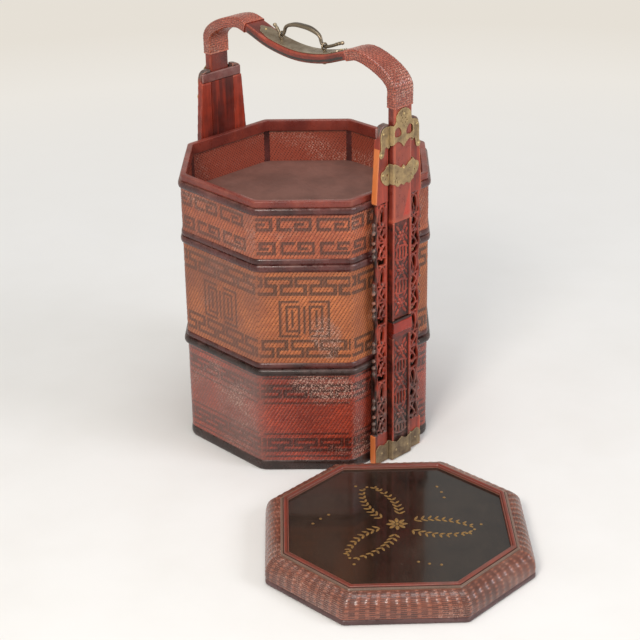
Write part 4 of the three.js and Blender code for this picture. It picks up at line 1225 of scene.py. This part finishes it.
def aged_metal(name, skin, dark, bright, gloss, bareness):
    material, node = new_material(name)
    place = object_place(node)
    cloud = node("MapRange", node("TexNoise", place, 60, 4, 0.6), 0.36, 0.66)
    spots = node("MapRange", node("TexNoise", place, 420, 3, 0.6), 0.56, 0.74, 0, 0.8)
    grit = node("TexNoise", place, 1500, 2, 0.55)
    wear = node("Attribute", attribute_name="wear")
    rubbing = node("Math", wear, node("Math", grit, 0.08, operation="MULTIPLY"), operation="ADD")
    edge = node("MapRange", rubbing, 0.07, 0.24)
    body = node("Mix", cloud, skin, dark)
    body = node("Mix", spots, body, dark)
    body = node("Mix", edge, body, bright)
    hollow = node("MapRange", rubbing, 0.0, -0.12)
    body = node("Mix", hollow, body, "#2B241A")
    bare = node("Math", node("MapRange", cloud, 0, 1, bareness, bareness * 0.55),
                node("Math", edge, 0.3, operation="MULTIPLY"), operation="ADD")
    sheen = node("Math", node("MapRange", cloud, 0, 1, gloss, gloss + 0.12),
                 node("Math", edge, 0.1, operation="MULTIPLY"), operation="SUBTRACT")
    dents = node("Bump", 0.25, 0.0003, Height=spots)
    dents = node("Bump", 0.2, 0.0002, Height=grit, Normal=dents)
    node("OutputMaterial",
         node("BsdfPrincipled", Base_Color=body, Metallic=bare, Roughness=sheen, Normal=dents))
    return material


old_brass = aged_metal("aged_olive_brass_sheet", "#B2986C", "#7A6549", "#DAC28C", 0.46, 0.4)
dull_brass = aged_metal("dull_brown_brass_of_the_feet", "#8F7B5C", "#5C4A39", "#B9A27C", 0.5, 0.3)
grey_brass = aged_metal("greyed_brass_of_the_saddle", "#958771", "#6B5B46", "#C6BAA2", 0.36, 0.6)
old_bronze = aged_metal("dark_patinated_bronze", "#544B43", "#352E29", "#A09078", 0.34, 0.7)
print("metals:", [metal.name for metal in (old_brass, dull_brass, grey_brass, old_bronze)])

# %% [markdown]
# A long brass plate with lobed ends protects the top of the dip. Its outline is drawn flat and filled,
# cut across many times with bisect so that it can bend, laid on the wood, and given its thickness.

# %% Sheet brass


def flat_sheet(outlines):
    """A filled sheet in the x, y plane from closed outlines. The ones inside another are holes."""
    clear_selection()
    bpy.ops.curve.primitive_nurbs_path_add()
    drawing = bpy.context.object
    drawing.data.dimensions = "2D"
    drawing.data.fill_mode = "BOTH"
    drawing.data.splines.clear()
    for outline in outlines:
        spline = drawing.data.splines.new("POLY")
        spline.points.add(len(outline) - 1)
        for point, (u, v) in zip(spline.points, outline):
            point.co = (u * MM, v * MM, 0.0, 1.0)
        spline.use_cyclic_u = True
    bpy.ops.object.convert(target="MESH")
    return bpy.context.object


def cut_across(sheet, places, direction=(1, 0, 0)):
    """Bisect a sheet at several places along one direction, in millimetres."""
    with editing(sheet):
        for place in places:
            bpy.ops.mesh.bisect(plane_co=[d * place * MM for d in direction], plane_no=direction)
            bpy.ops.mesh.select_all(action="SELECT")
        bpy.ops.mesh.remove_doubles(threshold=5e-5)
        bpy.ops.mesh.dissolve_degenerate(threshold=2e-5)
        bpy.ops.mesh.select_all(action="SELECT")
        bpy.ops.mesh.normals_make_consistent(inside=False)


def thicken(sheet, towards, thickness, soft=0.35):
    """Turn a sheet towards a direction, thicken it that way, and soften its edges."""
    mean = np.mean([np.array(face.normal) * face.area for face in sheet.data.polygons], axis=0)
    if mean @ np.array(towards) < 0:
        sheet.data.flip_normals()
    apply_modifier(sheet, "SOLIDIFY", thickness=thickness * MM, offset=1.0)
    apply_modifier(sheet, "BEVEL", width=soft * MM, segments=2, limit_method="ANGLE",
                   angle_limit=math.radians(50), use_clamp_overlap=True)
    smooth(sheet, 40)


# %% [markdown]
# Nails with low domed heads hold the sheet, each facing away from the wood. On the handle their place
# follows the top of the dip, so its height and its slope are worked out from the line of the arch.

# %% Nails, and the top of the handle
NAIL = 1.7


def stud(place, towards):
    """The domed head of a nail."""
    bpy.ops.mesh.primitive_uv_sphere_add(segments=14, ring_count=8, radius=NAIL * MM)
    head = bpy.context.object
    facing = Vector(towards).to_track_quat("Z", "Y").to_matrix().to_4x4()
    flatten = Matrix.Diagonal((1, 1, 0.62, 1))
    head.data.transform(Matrix.Translation(Vector(place) * MM) @ facing @ flatten)
    smooth(head, 60)
    return head


def wood_top(x):
    """Height of the top of the handle, and its slope, above x."""
    middle = np.interp(x, arch[:, 0], arch[:, 1])
    slope = np.interp(x, arch[:, 0], np.gradient(arch[:, 1]) / np.gradient(arch[:, 0]))
    return middle + 6.5 * math.sqrt(1 + slope ** 2), slope


# %% [markdown]
# The saddle plate's outline has a lobed end of a wavy circle and a long straight middle. The sheet follows
# the top of the handle, and a domed nail holds it at each end.

# %% Saddle plate and its nails
half_plan = []
for angle in np.linspace(-math.pi / 2, math.pi / 2, 25):
    lobe = 11.5 * (0.87 + 0.13 * math.cos(4 * angle))
    half_plan.append((76.5 + lobe * math.cos(angle), lobe * math.sin(angle)))
shoulder = [(70, 12.2), (64, 13.6), (58, 14.0)]
half_plan = [(x, -y) for x, y in shoulder[::-1]] + half_plan + shoulder
saddle = flat_sheet([half_plan + [(-x, -y) for x, y in half_plan]])
cut_across(saddle, np.arange(-87, 88, 3))
points = get_points(saddle)
points[:, 2] = [(wood_top(x / MM)[0] + 0.3) * MM for x in points[:, 0]]
set_points(saddle, points)
thicken(saddle, (0, 0, 1), 1.2)
mark_wear(saddle, 0)
finish_piece(saddle, "lobed_saddle_plate", ROOT, "brass", grey_brass, "saddle_plate")
for x, node in ((-78, "saddle_back_nail"), (78, "saddle_front_nail")):
    height, slope = wood_top(x)
    lean = Vector((-slope, 0, 1)).normalized()
    clear_selection()
    head = stud(Vector((x, 0, height)) + lean * 1.6, lean)
    mark_wear(head, 0)
    finish_piece(head, node + "_head", ROOT, "brass", old_brass, node)

# %% [markdown]
# The bail is a cast bow, broad and flat at its crown for the fingers, round where it turns in the eyes of
# two posts, with tails that curl up into knobs. A swept bar changes its section along the way, and balls
# end it. It swings about the line through both eyes, so it rides on its own body.

# %% Bail
PIVOT = 600.41


def tail(reach):
    return [(48, 0.4), (44 + reach * 0.45, 4.2), (44 + reach * 0.8, 9.6), (44 + reach, 12.0)]


bow = [(0, 21.2), (18.5, 19.8), (34.3, 13.4), (38.5, 4.4), (41.5, 0.6), (44, 0)]
front_half = bow + tail(36)
back_half = [(-x, z) for x, z in bow[1:] + tail(14)][::-1]
bail_line = evenly(curve_through(back_half + front_half, 10) + [0, PIVOT], 1.2)
rings = []
for x, _ in bail_line:
    strap = math.exp(-(x / 31.7) ** 4)
    deep = 2.3 + 0.75 * strap
    broad = 2.3 + (5.0 - 2.3) * strap
    turn = np.linspace(0, 2 * math.pi, 16, endpoint=False)
    power = 1 - 0.35 * strap
    rings.append(np.column_stack([broad * np.sign(np.cos(turn)) * abs(np.cos(turn)) ** power,
                                  deep * np.sign(np.sin(turn)) * abs(np.sin(turn)) ** power]))
bar = sweep(bail_line, rings)
knobs = [tip((bail_line[k][0], 0, bail_line[k][1]), (size, size, size * 0.9))
         for k, size in ((0, 3.2), (-1, 3.2), (5, 3.0), (-6, 3.0), (-11, 2.9))]
bail = join_pieces([bar] + knobs)
smooth(bail, 50)
mark_wear(bail, 0)
finish_piece(bail, "cast_bail", "bail", "bronze", old_bronze, "bail")

# %% [markdown]
# The two posts are turned bronze with a ring at the top, through which the bail passes. Each shaft goes
# down through the strip, which is 13 mm thick, and ends 4 mm below it.

# %% Eye posts
for x, node in ((-44, "back_eye_post"), (44, "front_eye_post")):
    clear_selection()
    top = wood_top(x)[0]
    low = top - 13 - 4
    bpy.ops.mesh.primitive_cylinder_add(vertices=20, radius=2.4 * MM, depth=(PIVOT - 4.5 - low) * MM,
                                        location=(x * MM, 0, (PIVOT - 4.5 + low) / 2 * MM))
    shaft = bpy.context.object
    bpy.ops.object.transform_apply(location=True, rotation=True, scale=True)
    bpy.ops.mesh.primitive_torus_add(major_segments=28, minor_segments=12, major_radius=4.5 * MM,
                                     minor_radius=1.5 * MM, rotation=(0, math.pi / 2, 0),
                                     location=(x * MM, 0, PIVOT * MM))
    bpy.ops.object.transform_apply(location=True, rotation=True, scale=True)
    eye_post = join_pieces([shaft, bpy.context.object])
    smooth(eye_post, 45)
    mark_wear(eye_post, 0)
    finish_piece(eye_post, node + "_turned", ROOT, "bronze", old_bronze, node)

# %% [markdown]
# Three brass plates hold each upright together: a bat-shaped cap over the end of the handle, a butterfly
# below it, and a band round the foot. Such outlines are common on old chests. Each half outline is drawn
# as a smooth line through a few places, mirrored, filled, cut along the edges of the middle boards and
# pressed over them, so the sheet steps forward there as beaten brass does.

# %% Pressed brass


def pressed_plate(half_outline, holes, nails):
    """A plate over the wings and the boards, with holes in it, and nail heads at (y, z)."""
    half = curve_through(half_outline, 5)
    outline = np.vstack([half, (half * (-1, 1))[-2:0:-1]])
    sheet = flat_sheet([outline, *holes])
    cut_across(sheet, [*np.arange(-45, 46, 4.5), -20.5, -19.3, 19.3, 20.5])
    cut_across(sheet, np.arange(outline[:, 1].min() + 4, outline[:, 1].max(), 4.3), (0, 1, 0))
    flat = get_points(sheet)
    forward = np.interp(abs(flat[:, 0]) / MM, (19.3, 20.5), (197.6, 190.6))
    set_points(sheet, np.column_stack([forward * MM, flat[:, 0], flat[:, 1]]))
    thicken(sheet, (1, 0, 0), 1.2, 0.3)
    heads = []
    for y, z in nails:
        face = 198.8 if abs(y) < 19 else 191.8
        heads.append(stud((face + 0.1, y, z), (1, 0, 0)))
    piece = join_pieces([sheet] + heads)
    mark_wear(piece, 0)
    return piece


def round_hole(y, z, radius):
    return [(y + radius * math.cos(t), z + radius * math.sin(t))
            for t in np.linspace(0, 2 * math.pi, 12)[:-1]]


def shares(points, half, z):
    return [(y * half, z + rise * half) for y, rise in points]


# %% [markdown]
# The places of a half outline are shares of half the upright's breadth, which is 39 mm at its top and
# 49 mm at its foot. The cap has two arched windows and a cluster of small round holes, the butterfly four
# pairs of round holes and two pairs of slits.

# %% Brass plates of the uprights
cap_half = shares([(0, -0.90), (0.12, -0.76), (0.30, -0.66), (0.47, -0.72), (0.58, -0.88), (0.74, -0.80),
                   (0.85, -1.13), (0.97, -1.18), (1.04, -1.05), (0.97, -0.87), (0.97, -0.36), (0.87, -0.15),
                   (0.72, -0.08), (0.54, -0.08), (0.38, 0.08), (0.37, 0.26), (0.23, 0.44), (0.08, 0.51),
                   (0, 0.51)], 39, 525)
arched = [(4.8, 507.5), (11.5, 505.6), (17.6, 507.5), (18.6, 513.0), (15.5, 518.4), (11.0, 519.8),
          (6.2, 516.0)]
window = curve_through(arched, 4, closed=True)
pierced = [(-3.4, 541.2), (3.4, 541.2), (-5.8, 535.6), (5.8, 535.6), (-2.8, 531.2), (3.0, 530.6),
           (-6.2, 527.4), (6.0, 527.0), (-2.4, 524.6), (2.6, 524.2), (0.0, 520.0)]
cap_holes = [window, (window * (-1, 1))[::-1]] + [round_hole(y, z, 0.95) for y, z in pierced]
cap_nails = [(37.0, 484.0), (-37.0, 484.0), (33.1, 513.3), (-33.1, 513.3), (0.0, 537.1)]
butterfly_half = shares([(0, -0.43), (0.14, -0.35), (0.30, -0.42), (0.48, -0.30), (0.66, -0.33),
                         (0.86, -0.20), (0.97, 0.02), (0.93, 0.20), (0.78, 0.27), (0.66, 0.40),
                         (0.46, 0.45), (0.28, 0.36), (0.12, 0.25), (0, 0.34)], 39, 450)
spots = ((25.5, 452.5, 1.7), (14.5, 447.0, 1.0), (12.0, 455.5, 0.9), (29.5, 447.5, 0.9))
butterfly_holes = [round_hole(side * y, z, radius) for side in (-1, 1) for y, z, radius in spots]
slit = ((-0.5, 0), (0.5, -0.3), (1.6, 4.6), (0.8, 5.0))
for side in (-1, 1):
    for y, z in ((16.5, 440.5), (12.2, 438.6)):
        butterfly_holes.append([(side * (y + across), z + up) for across, up in slit])
butterfly_nails = [(33.9, 453.9), (-33.9, 453.9), (0.0, 458.6)]
foot_half = shares([(0, 0.04), (0.3, 0.04), (0.6, 0.04), (0.9, 0.04), (0.96, 0.1), (0.96, 0.3), (0.96, 0.5),
                    (0.82, 0.63), (0.61, 0.57), (0.41, 0.67), (0.2, 0.59), (0, 0.69)], 49, 0)
foot_nails = [(35.8, 16.2), (-35.8, 16.2), (12.2, 16.2), (-12.2, 16.2)]
for name, metal, *drawing in (("cap", old_brass, cap_half, cap_holes, cap_nails),
                              ("butterfly", old_brass, butterfly_half, butterfly_holes, butterfly_nails),
                              ("foot", dull_brass, foot_half, [], foot_nails)):
    finish_both_ends(pressed_plate(*drawing), f"{name}_of_brass", "brass", metal, f"{name}_plate")

# %% [markdown]
# A short strip across the inner side ties the tops of the two wings. It stands a little proud of the
# boards below it, and its lower and upper edges are rounded by the hands that reach over it.

# %% Cross strips
clear_selection()
strip = plate(box_outline(-38, 506, 38, 520), 179.8, 184.0)
apply_modifier(strip, "BEVEL", width=1.7 * MM, segments=4, limit_method="ANGLE",
               angle_limit=math.radians(40))
smooth(strip, 35)
mark_wear(strip, 0)
strip_lacquer = lacquered_wood("maroon_lacquer_on_the_cross_strip", "#80403A", "#5C2E2B", "#A88A84", 0.36,
                               0.8)
finish_both_ends(strip, "cross_bar", "brown_lacquer", strip_lacquer, "cross_strip")

# %% [markdown]
# The lid lies on the floor with its panel up. It is made where it would be easiest to draw, round the
# origin, and then turned and moved to its place. Its skirt is a wall of ribs bent over a dome, with fine
# strands plaited under and over them, so it is one closed tube round the octagon whose outer face has
# two rows for every strand. A rib comes every 13 mm. The corners are round, as bamboo cannot fold.

# %% Woven skirt of the lid
LID_PLACE = Matrix.Translation((0.36601, -0.18697, 0)) @ Matrix.Rotation(math.radians(47.2), 4, "Z")


def plan_evenly(offset, radius, count):
    """Evenly spaced places round the plan with round corners, and the directions outwards there."""
    outline = np.array([(p.x, p.y) for p in rounded_plan(offset * MM, radius, 6)]) / MM
    spots = evenly_round(count, outline)[0]
    run = np.roll(spots, -1, axis=0) - np.roll(spots, 1, axis=0)
    out = np.column_stack([run[:, 1], -run[:, 0]]) / np.linalg.norm(run, axis=1)[:, None]
    return spots, out


def ring_of_rows(section, tilts, lifts, radius, values):
    """A closed tube round the octagon. Section is its rows of (offset, z), tilts their outward normals."""
    clear_selection()
    rows, around = lifts.shape
    spots, outs = zip(*[plan_evenly(offset, radius, around) for offset, _ in section])
    spots, outs, tilts = np.array(spots), np.array(outs), np.array(tilts)
    tube, _, _, j, i = flat_grid(around, rows)
    i %= rows
    j %= around
    flat = spots[i, j] + outs[i, j] * (tilts[i, 0] * lifts[i, j])[:, None]
    height = np.array(section)[i, 1] + tilts[i, 1] * lifts[i, j]
    set_points(tube, np.column_stack([flat, height]) * MM)
    for name, table in values.items():
        set_values(tube, name, table[i, j])
    face_outwards(tube)
    return tube


# %% [markdown]
# The section of the skirt is a dome, a little squarer than an ellipse, from under its widest part to the
# edge of the panel, and back again inside. The lift of each vertex makes the plait: ribs stand out where
# they pass over a strand, and every second row between them is a groove.

# %% Dome and plait of the skirt
FOOT_TURN = -0.18
RIBS = 90


def dome(turn, reach, rise):
    """A place on the dome, where turn goes from below the widest part to the top. In millimetres."""
    across = math.cos(turn) ** 0.9
    up = math.copysign(abs(math.sin(turn)) ** 0.9, math.sin(turn))
    return -17.8 + reach * across, 14 + rise * up


outer_rows = [(dome(a, 21.6, 24.6), (math.cos(a), math.sin(a)))
              for a in np.linspace(FOOT_TURN, math.pi / 2, 33)]
inner_rows = [(dome(a, 17.4, 20.0), (0, 0)) for a in np.linspace(1.35, FOOT_TURN, 9)]
section, tilts = zip(*outer_rows, *inner_rows)
around = RIBS * 8
row, column = np.meshgrid(np.arange(len(section)), np.arange(around), indexing="ij")
outside = (row > 0) & (row < len(outer_rows) - 1)
strand_row = row // 2
rib = column // 8
on_rib = column % 8 < 3
over = (strand_row + rib) % 2 == 0
lifts = np.where(on_rib, np.where(over, 0.5, 0.15), np.where(row % 2 == 0, -0.30, 0.05)) * outside
tones = random.random((40, RIBS))[strand_row % 40, rib]
# Painted shade: the grooves between the strands, and the ribs where they pass under, get a dark value.
values = {"tone": tones,
          "pit": (outside & ~on_rib & (row % 2 == 0)) * 0.7 + (outside & on_rib & ~over) * 0.35,
          "strip": (on_rib & over & outside) * 0.7}
lid_bamboo = woven_bamboo("ribbed_bamboo_of_the_lid", "#94503A", "#6E3625", "#482117", "#180A07", "#5A3426",
                          0.28, 0.5, painted_glints=0.5, proud="#9E6048")
skirt = ring_of_rows(section, tilts, lifts, 9 * MM, values)
skirt.data.transform(LID_PLACE)
smooth(skirt, 60)
finish_piece(skirt, "domed_bamboo_skirt", "lid", "lid_weave", lid_bamboo, "lid_woven_skirt")

# %% [markdown]
# A dark rail binds the foot of the skirt, one rounded strip whose lacquer is rubbed on its edges.

# %% Rim of the lid
purple_lacquer = lacquered_wood("purple_brown_lacquer_of_the_lid_rim", "#5E4141", "#463030", "#9A7A72",
                                0.34, 0.7)
lid_rim = octagon_ring(beads(-0.7, 4.2, 0.0, 8.0, 1, 1.9), 8 * MM)
lid_rim.data.transform(LID_PLACE)
smooth(lid_rim, 35)
mark_wear(lid_rim, 0, 0.5)
finish_piece(lid_rim, "bound_rim_of_the_lid", "lid", "dark_lacquer", purple_lacquer, "lid_rim")

# %% [markdown]
# A flat moulding frames the panel on top: a broad dark strip outside, a fine pale line, a red strip, and
# a second line. The lines are ridges that the wear brightens. How far a vertex lies inside the octagon of
# the lid tells the dark strip from the red one.

# %% Moulding of the lid


def moulding_lacquer():
    """Red lacquer inside, dark outside, by a value on the vertices, with pale lines on the ridges."""
    material, node = new_material("two_tone_lacquer_of_the_moulding")
    place = object_place(node)
    band = node("MapRange", node("Attribute", attribute_name="band"), 0.3, 0.7)
    cloud = node("MapRange", node("TexNoise", place, 40, 4, 0.6), 0.35, 0.7, 0, 0.6)
    body = node("Mix", band, "#7E3024", "#5A4C41")
    body = node("Mix", cloud, body, "#48342A")
    edge = node("Math", node("Attribute", attribute_name="wear"),
                node("Math", node("TexNoise", place, 700, 2, 0.55), 0.1, operation="MULTIPLY"),
                operation="ADD")
    body = node("Mix", node("MapRange", edge, 0.1, 0.26, 0, 0.85), body, "#B98F7C")
    # Its hollows get a dark tone, grime together with painted shade.
    body = node("Mix", node("MapRange", edge, 0.0, -0.12), body, "#20130F")
    node("OutputMaterial",
         node("BsdfPrincipled", Base_Color=body, Roughness=0.32, Coat_Weight=0.2, Coat_Roughness=0.2))
    return material


profile = [(-28.2, 38.3), (-17.2, 38.3), (-17.2, 40.0), (-17.9, 40.9), (-20.2, 41.3), (-20.6, 40.7),
           (-21.0, 40.7), (-21.5, 42.4), (-22.4, 43.0), (-25.2, 43.0), (-25.9, 42.6), (-26.3, 41.9),
           (-26.8, 42.3), (-27.7, 42.2), (-28.2, 41.4)]
moulding = octagon_ring(profile, 4 * MM)
points = get_points(moulding)
reach = np.max(abs(points[:, :2]), axis=1)
diagonal = np.max(abs(points[:, :2] @ np.array([[1, 1], [1, -1]]).T), axis=1) / math.sqrt(2)
offsets = np.maximum(reach - HALF, diagonal - HALF_DIAGONAL) / MM
set_values(moulding, "band", (offsets > -20.8).astype(float))
moulding.data.transform(LID_PLACE)
smooth(moulding, 30)
mark_wear(moulding, 0, 0.42)
finish_piece(moulding, "panel_moulding", "lid", "bright_red_lacquer", moulding_lacquer(), "lid_moulding")

# %% [markdown]
# The panel is black lacquer, polished until it mirrors. Age has turned it brown and clouded it with fine
# scratches, which break the mirror up in places. It keeps the CAD solid, because it is a flat board.

# %% Black lacquer panel


def black_lacquer():
    material, node = new_material("polished_black_lacquer_with_age")
    place = object_place(node)
    cloud = node("TexNoise", place, 12, 5, 0.62)
    body = node("Mix", node("MapRange", cloud, 0.36, 0.64), "#1B130F", "#2C221B")
    fine = node("TexNoise", object_place(node, (1, 5, 1), (0, 0, 0.5)), 160, 4, 0.7)
    body = node("Mix", node("MapRange", fine, 0.55, 0.75, 0, 0.35), body, "#6E5F4C")
    dull = node("Math", node("MapRange", cloud, 0.4, 0.7, 0.1, 0.24),
                node("MapRange", fine, 0.5, 0.8, 0, 0.14), operation="ADD")
    ripple = node("Bump", 0.1, 0.001, Height=node("TexNoise", place, 30, 2, 0.55))
    node("OutputMaterial",
         node("BsdfPrincipled", Base_Color=body, Roughness=dull, Normal=ripple, Coat_Weight=0.5,
              Coat_Roughness=0.07))
    return material


dress(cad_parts["lid_panel"], black_lacquer())
print("lid_panel keeps its solid, in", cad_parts["lid_panel"].data.materials[0].name)

# %% [markdown]
# Thin gilt sprays lie on the panel, drawn here as plain leaves, dots and a rosette of the common kind.
# Gold leaf wears thin until the lacquer shows through, and is less of a metal there. Each leaf is a flat
# pointed shape, made from a circle whose sides are pressed in.

# %% Gold leaf


def worn_gilding():
    material, node = new_material("worn_gilding_on_lacquer")
    place = object_place(node)
    thin = node("MapRange", node("TexNoise", place, 260, 4, 0.7), 0.4, 0.62)
    body = node("Mix", thin, "#B48E52", "#6A5032")
    metal = node("MapRange", thin, 0, 1, 0.65, 0.1)
    node("OutputMaterial", node("BsdfPrincipled", Base_Color=body, Metallic=metal, Roughness=0.38))
    return material


def flat_leaf(x, y, length, breadth, turn):
    """A thin pointed leaf on the panel."""
    bpy.ops.mesh.primitive_circle_add(vertices=12, radius=1.0, fill_type="NGON")
    leaf = bpy.context.object
    spots = get_points(leaf)
    pointed = np.sign(spots[:, 1]) * abs(spots[:, 1]) ** 1.5 * breadth / 2
    along = spots[:, 0] * length / 2
    set_points(leaf, np.column_stack([x + along * math.cos(turn) - pointed * math.sin(turn),
                                      y + along * math.sin(turn) + pointed * math.cos(turn),
                                      np.full(len(spots), 38.03)]) * MM)
    return leaf


# %% [markdown]
# Eight leaves round a dot make the rosette. Six sprays run outwards from it, bent to the left and to the
# right by turns, with pairs of leaves that get smaller, and three dots stand between each two of them.
# All are joined in one piece, which gets its thickness and soft edges at once.

# %% Gilt sprays
clear_selection()
leaves = [flat_leaf(9 * math.cos(t), 9 * math.sin(t), 12, 5.5, t)
          for t in np.linspace(0, 2 * math.pi, 9)[:-1]]
leaves.append(flat_leaf(0, 0, 5, 5, 0))
for arm in range(6):
    heading = arm * math.pi / 3 + 0.35
    for n in range(9):
        turn = heading + 0.055 * n * (1 if arm % 2 else -1)
        x, y = (26 + 9 * n) * math.cos(turn), (26 + 9 * n) * math.sin(turn)
        for side in (-1, 1):
            size = 12 - 0.55 * n
            lean = turn + side * 0.75
            leaves.append(flat_leaf(x + 0.42 * size * math.cos(lean), y + 0.42 * size * math.sin(lean),
                                    size, 3.6, lean))
    for n in range(3):
        turn = heading + math.pi / 6 + 0.12 * (n - 1)
        leaves.append(flat_leaf((96 + 9 * n) * math.cos(turn), (96 + 9 * n) * math.sin(turn), 4.5, 4.5, 0))
gilding = join_pieces(leaves)
thicken(gilding, (0, 0, 1), 0.1, 0.02)
gilding.data.transform(LID_PLACE)
finish_piece(gilding, "gilt_sprays", "lid", "black_lacquer", worn_gilding())

# %% [markdown]
# The pieces inside the trays, behind the uprights and under the lid are plain boards and strips, and the
# CAD solids are the right shape for them. Each gets the finish of its real wood.

# %% Finishes of the plain pieces
plain = {"_collar": rim_lacquer, "_inner_frame": rail_lacquer, "_floor_board": floor_wood,
         "_cleat": dark_lacquer, "_peg": bright_lacquer, "_back_board": board_lacquer,
         "lid_inner_ring": rail_lacquer}
for name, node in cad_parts.items():
    for ending, finish in plain.items():
        if name.endswith(ending) and not node.hide_render:
            dress(node, finish)
            print(name, "keeps its solid, in", finish.name)

# %% [markdown]
# A pale seamless floor, flat round the basket and rising to a cream wall more than four metres away on every
# side, so that the basket can be looked at from any angle. The lamps leave the far floor dim, so there
# the camera and reflections see the paper's own tone instead. Light on the basket and the floor's shadow
# close to it stay as they are, because only those rays are changed.

# %% Floor
FLAT_RADIUS = 4.3
clear_selection()
bpy.ops.mesh.primitive_plane_add(size=1)
floor = bpy.context.object
with editing(floor):
    bpy.ops.transform.resize(value=(16.0, 16.0, 1.0))
    bpy.ops.mesh.subdivide(number_cuts=48)
points = get_points(floor)
past_flat = np.maximum(np.linalg.norm(points, axis=1) - FLAT_RADIUS, 0)
points[:, 2] = 0.9 * past_flat ** 2 / (past_flat + 0.5)
set_points(floor, points)
smooth(floor, 60)
floor.name = "pale_floor"
material, node = new_material("matt_pale_paper_sweep")
place = object_place(node)
mottle = node("TexNoise", place, 6, 4, 0.55)
tone = node("Mix", node("MapRange", mottle, 0.4, 0.7, 0, 0.2), "#EAEAE9", "#DAD8D3")
rays = node("LightPath").node.outputs
seen = node("Math", rays["Is Camera Ray"], rays["Is Glossy Ray"], operation="MAXIMUM")
seen = node("Math", seen, rays["Is Transmission Ray"], operation="MAXIMUM")
distance = node("VectorMath", place, (0.9, -0.7, 0), operation="DISTANCE")
beyond = node("Math", node("MapRange", distance, 1.2, 2.9), seen, operation="MULTIPLY")
cream = node("Mix", node("MapRange", distance, 1.8, 3.4), "#F5F4F2", "#E4DED4")
node("OutputMaterial",
     node("BsdfPrincipled", Base_Color=node("Mix", beyond, tone, "#000000"), Emission_Color=cream,
          Emission_Strength=beyond, Roughness=0.9, Specular_IOR_Level=0.2))
dress(floor, material)
print("floor rises to", round(max(points[:, 2]), 2), "m")

# %% [markdown]
# One soft lamp high on the left of the camera is the main light, a weaker one stands on the right, and a
# third hangs above. They are soft because they are large. The pale world fills the shadows.

# %% Lamps and world


def soft_lamp(name, place, aim, size, power, tint):
    """A square area lamp that looks at a point."""
    bpy.ops.object.light_add(type="AREA", location=place)
    lamp = bpy.context.object
    lamp.name = name
    lamp.rotation_euler = (Vector(aim) - Vector(place)).to_track_quat("-Z", "Y").to_euler()
    lamp.data.shape = "SQUARE"
    lamp.data.size = size
    lamp.data.energy = power
    lamp.data.color = colour(tint)[:3]


soft_lamp("key_lamp", (1.2, -2.35, 2.2), (0, 0, 0.2), 0.8, 54, "#FFF8F0")
soft_lamp("fill_lamp", (2.7, 0.9, 1.9), (0, 0, 0.25), 1.2, 34, "#FAF9FF")
soft_lamp("top_lamp", (0.2, -0.2, 2.8), (0, 0, 0.2), 1.4, 22, "#FFFFFF")

world = bpy.data.worlds.new("pale_room")
bpy.context.scene.world = world
world.use_nodes = True
pale = world.node_tree.nodes["Background"].inputs
pale["Color"].default_value = colour("#EDEBE6")
pale["Strength"].default_value = 0.50
print("lamps:", [item.name for item in bpy.data.lights])
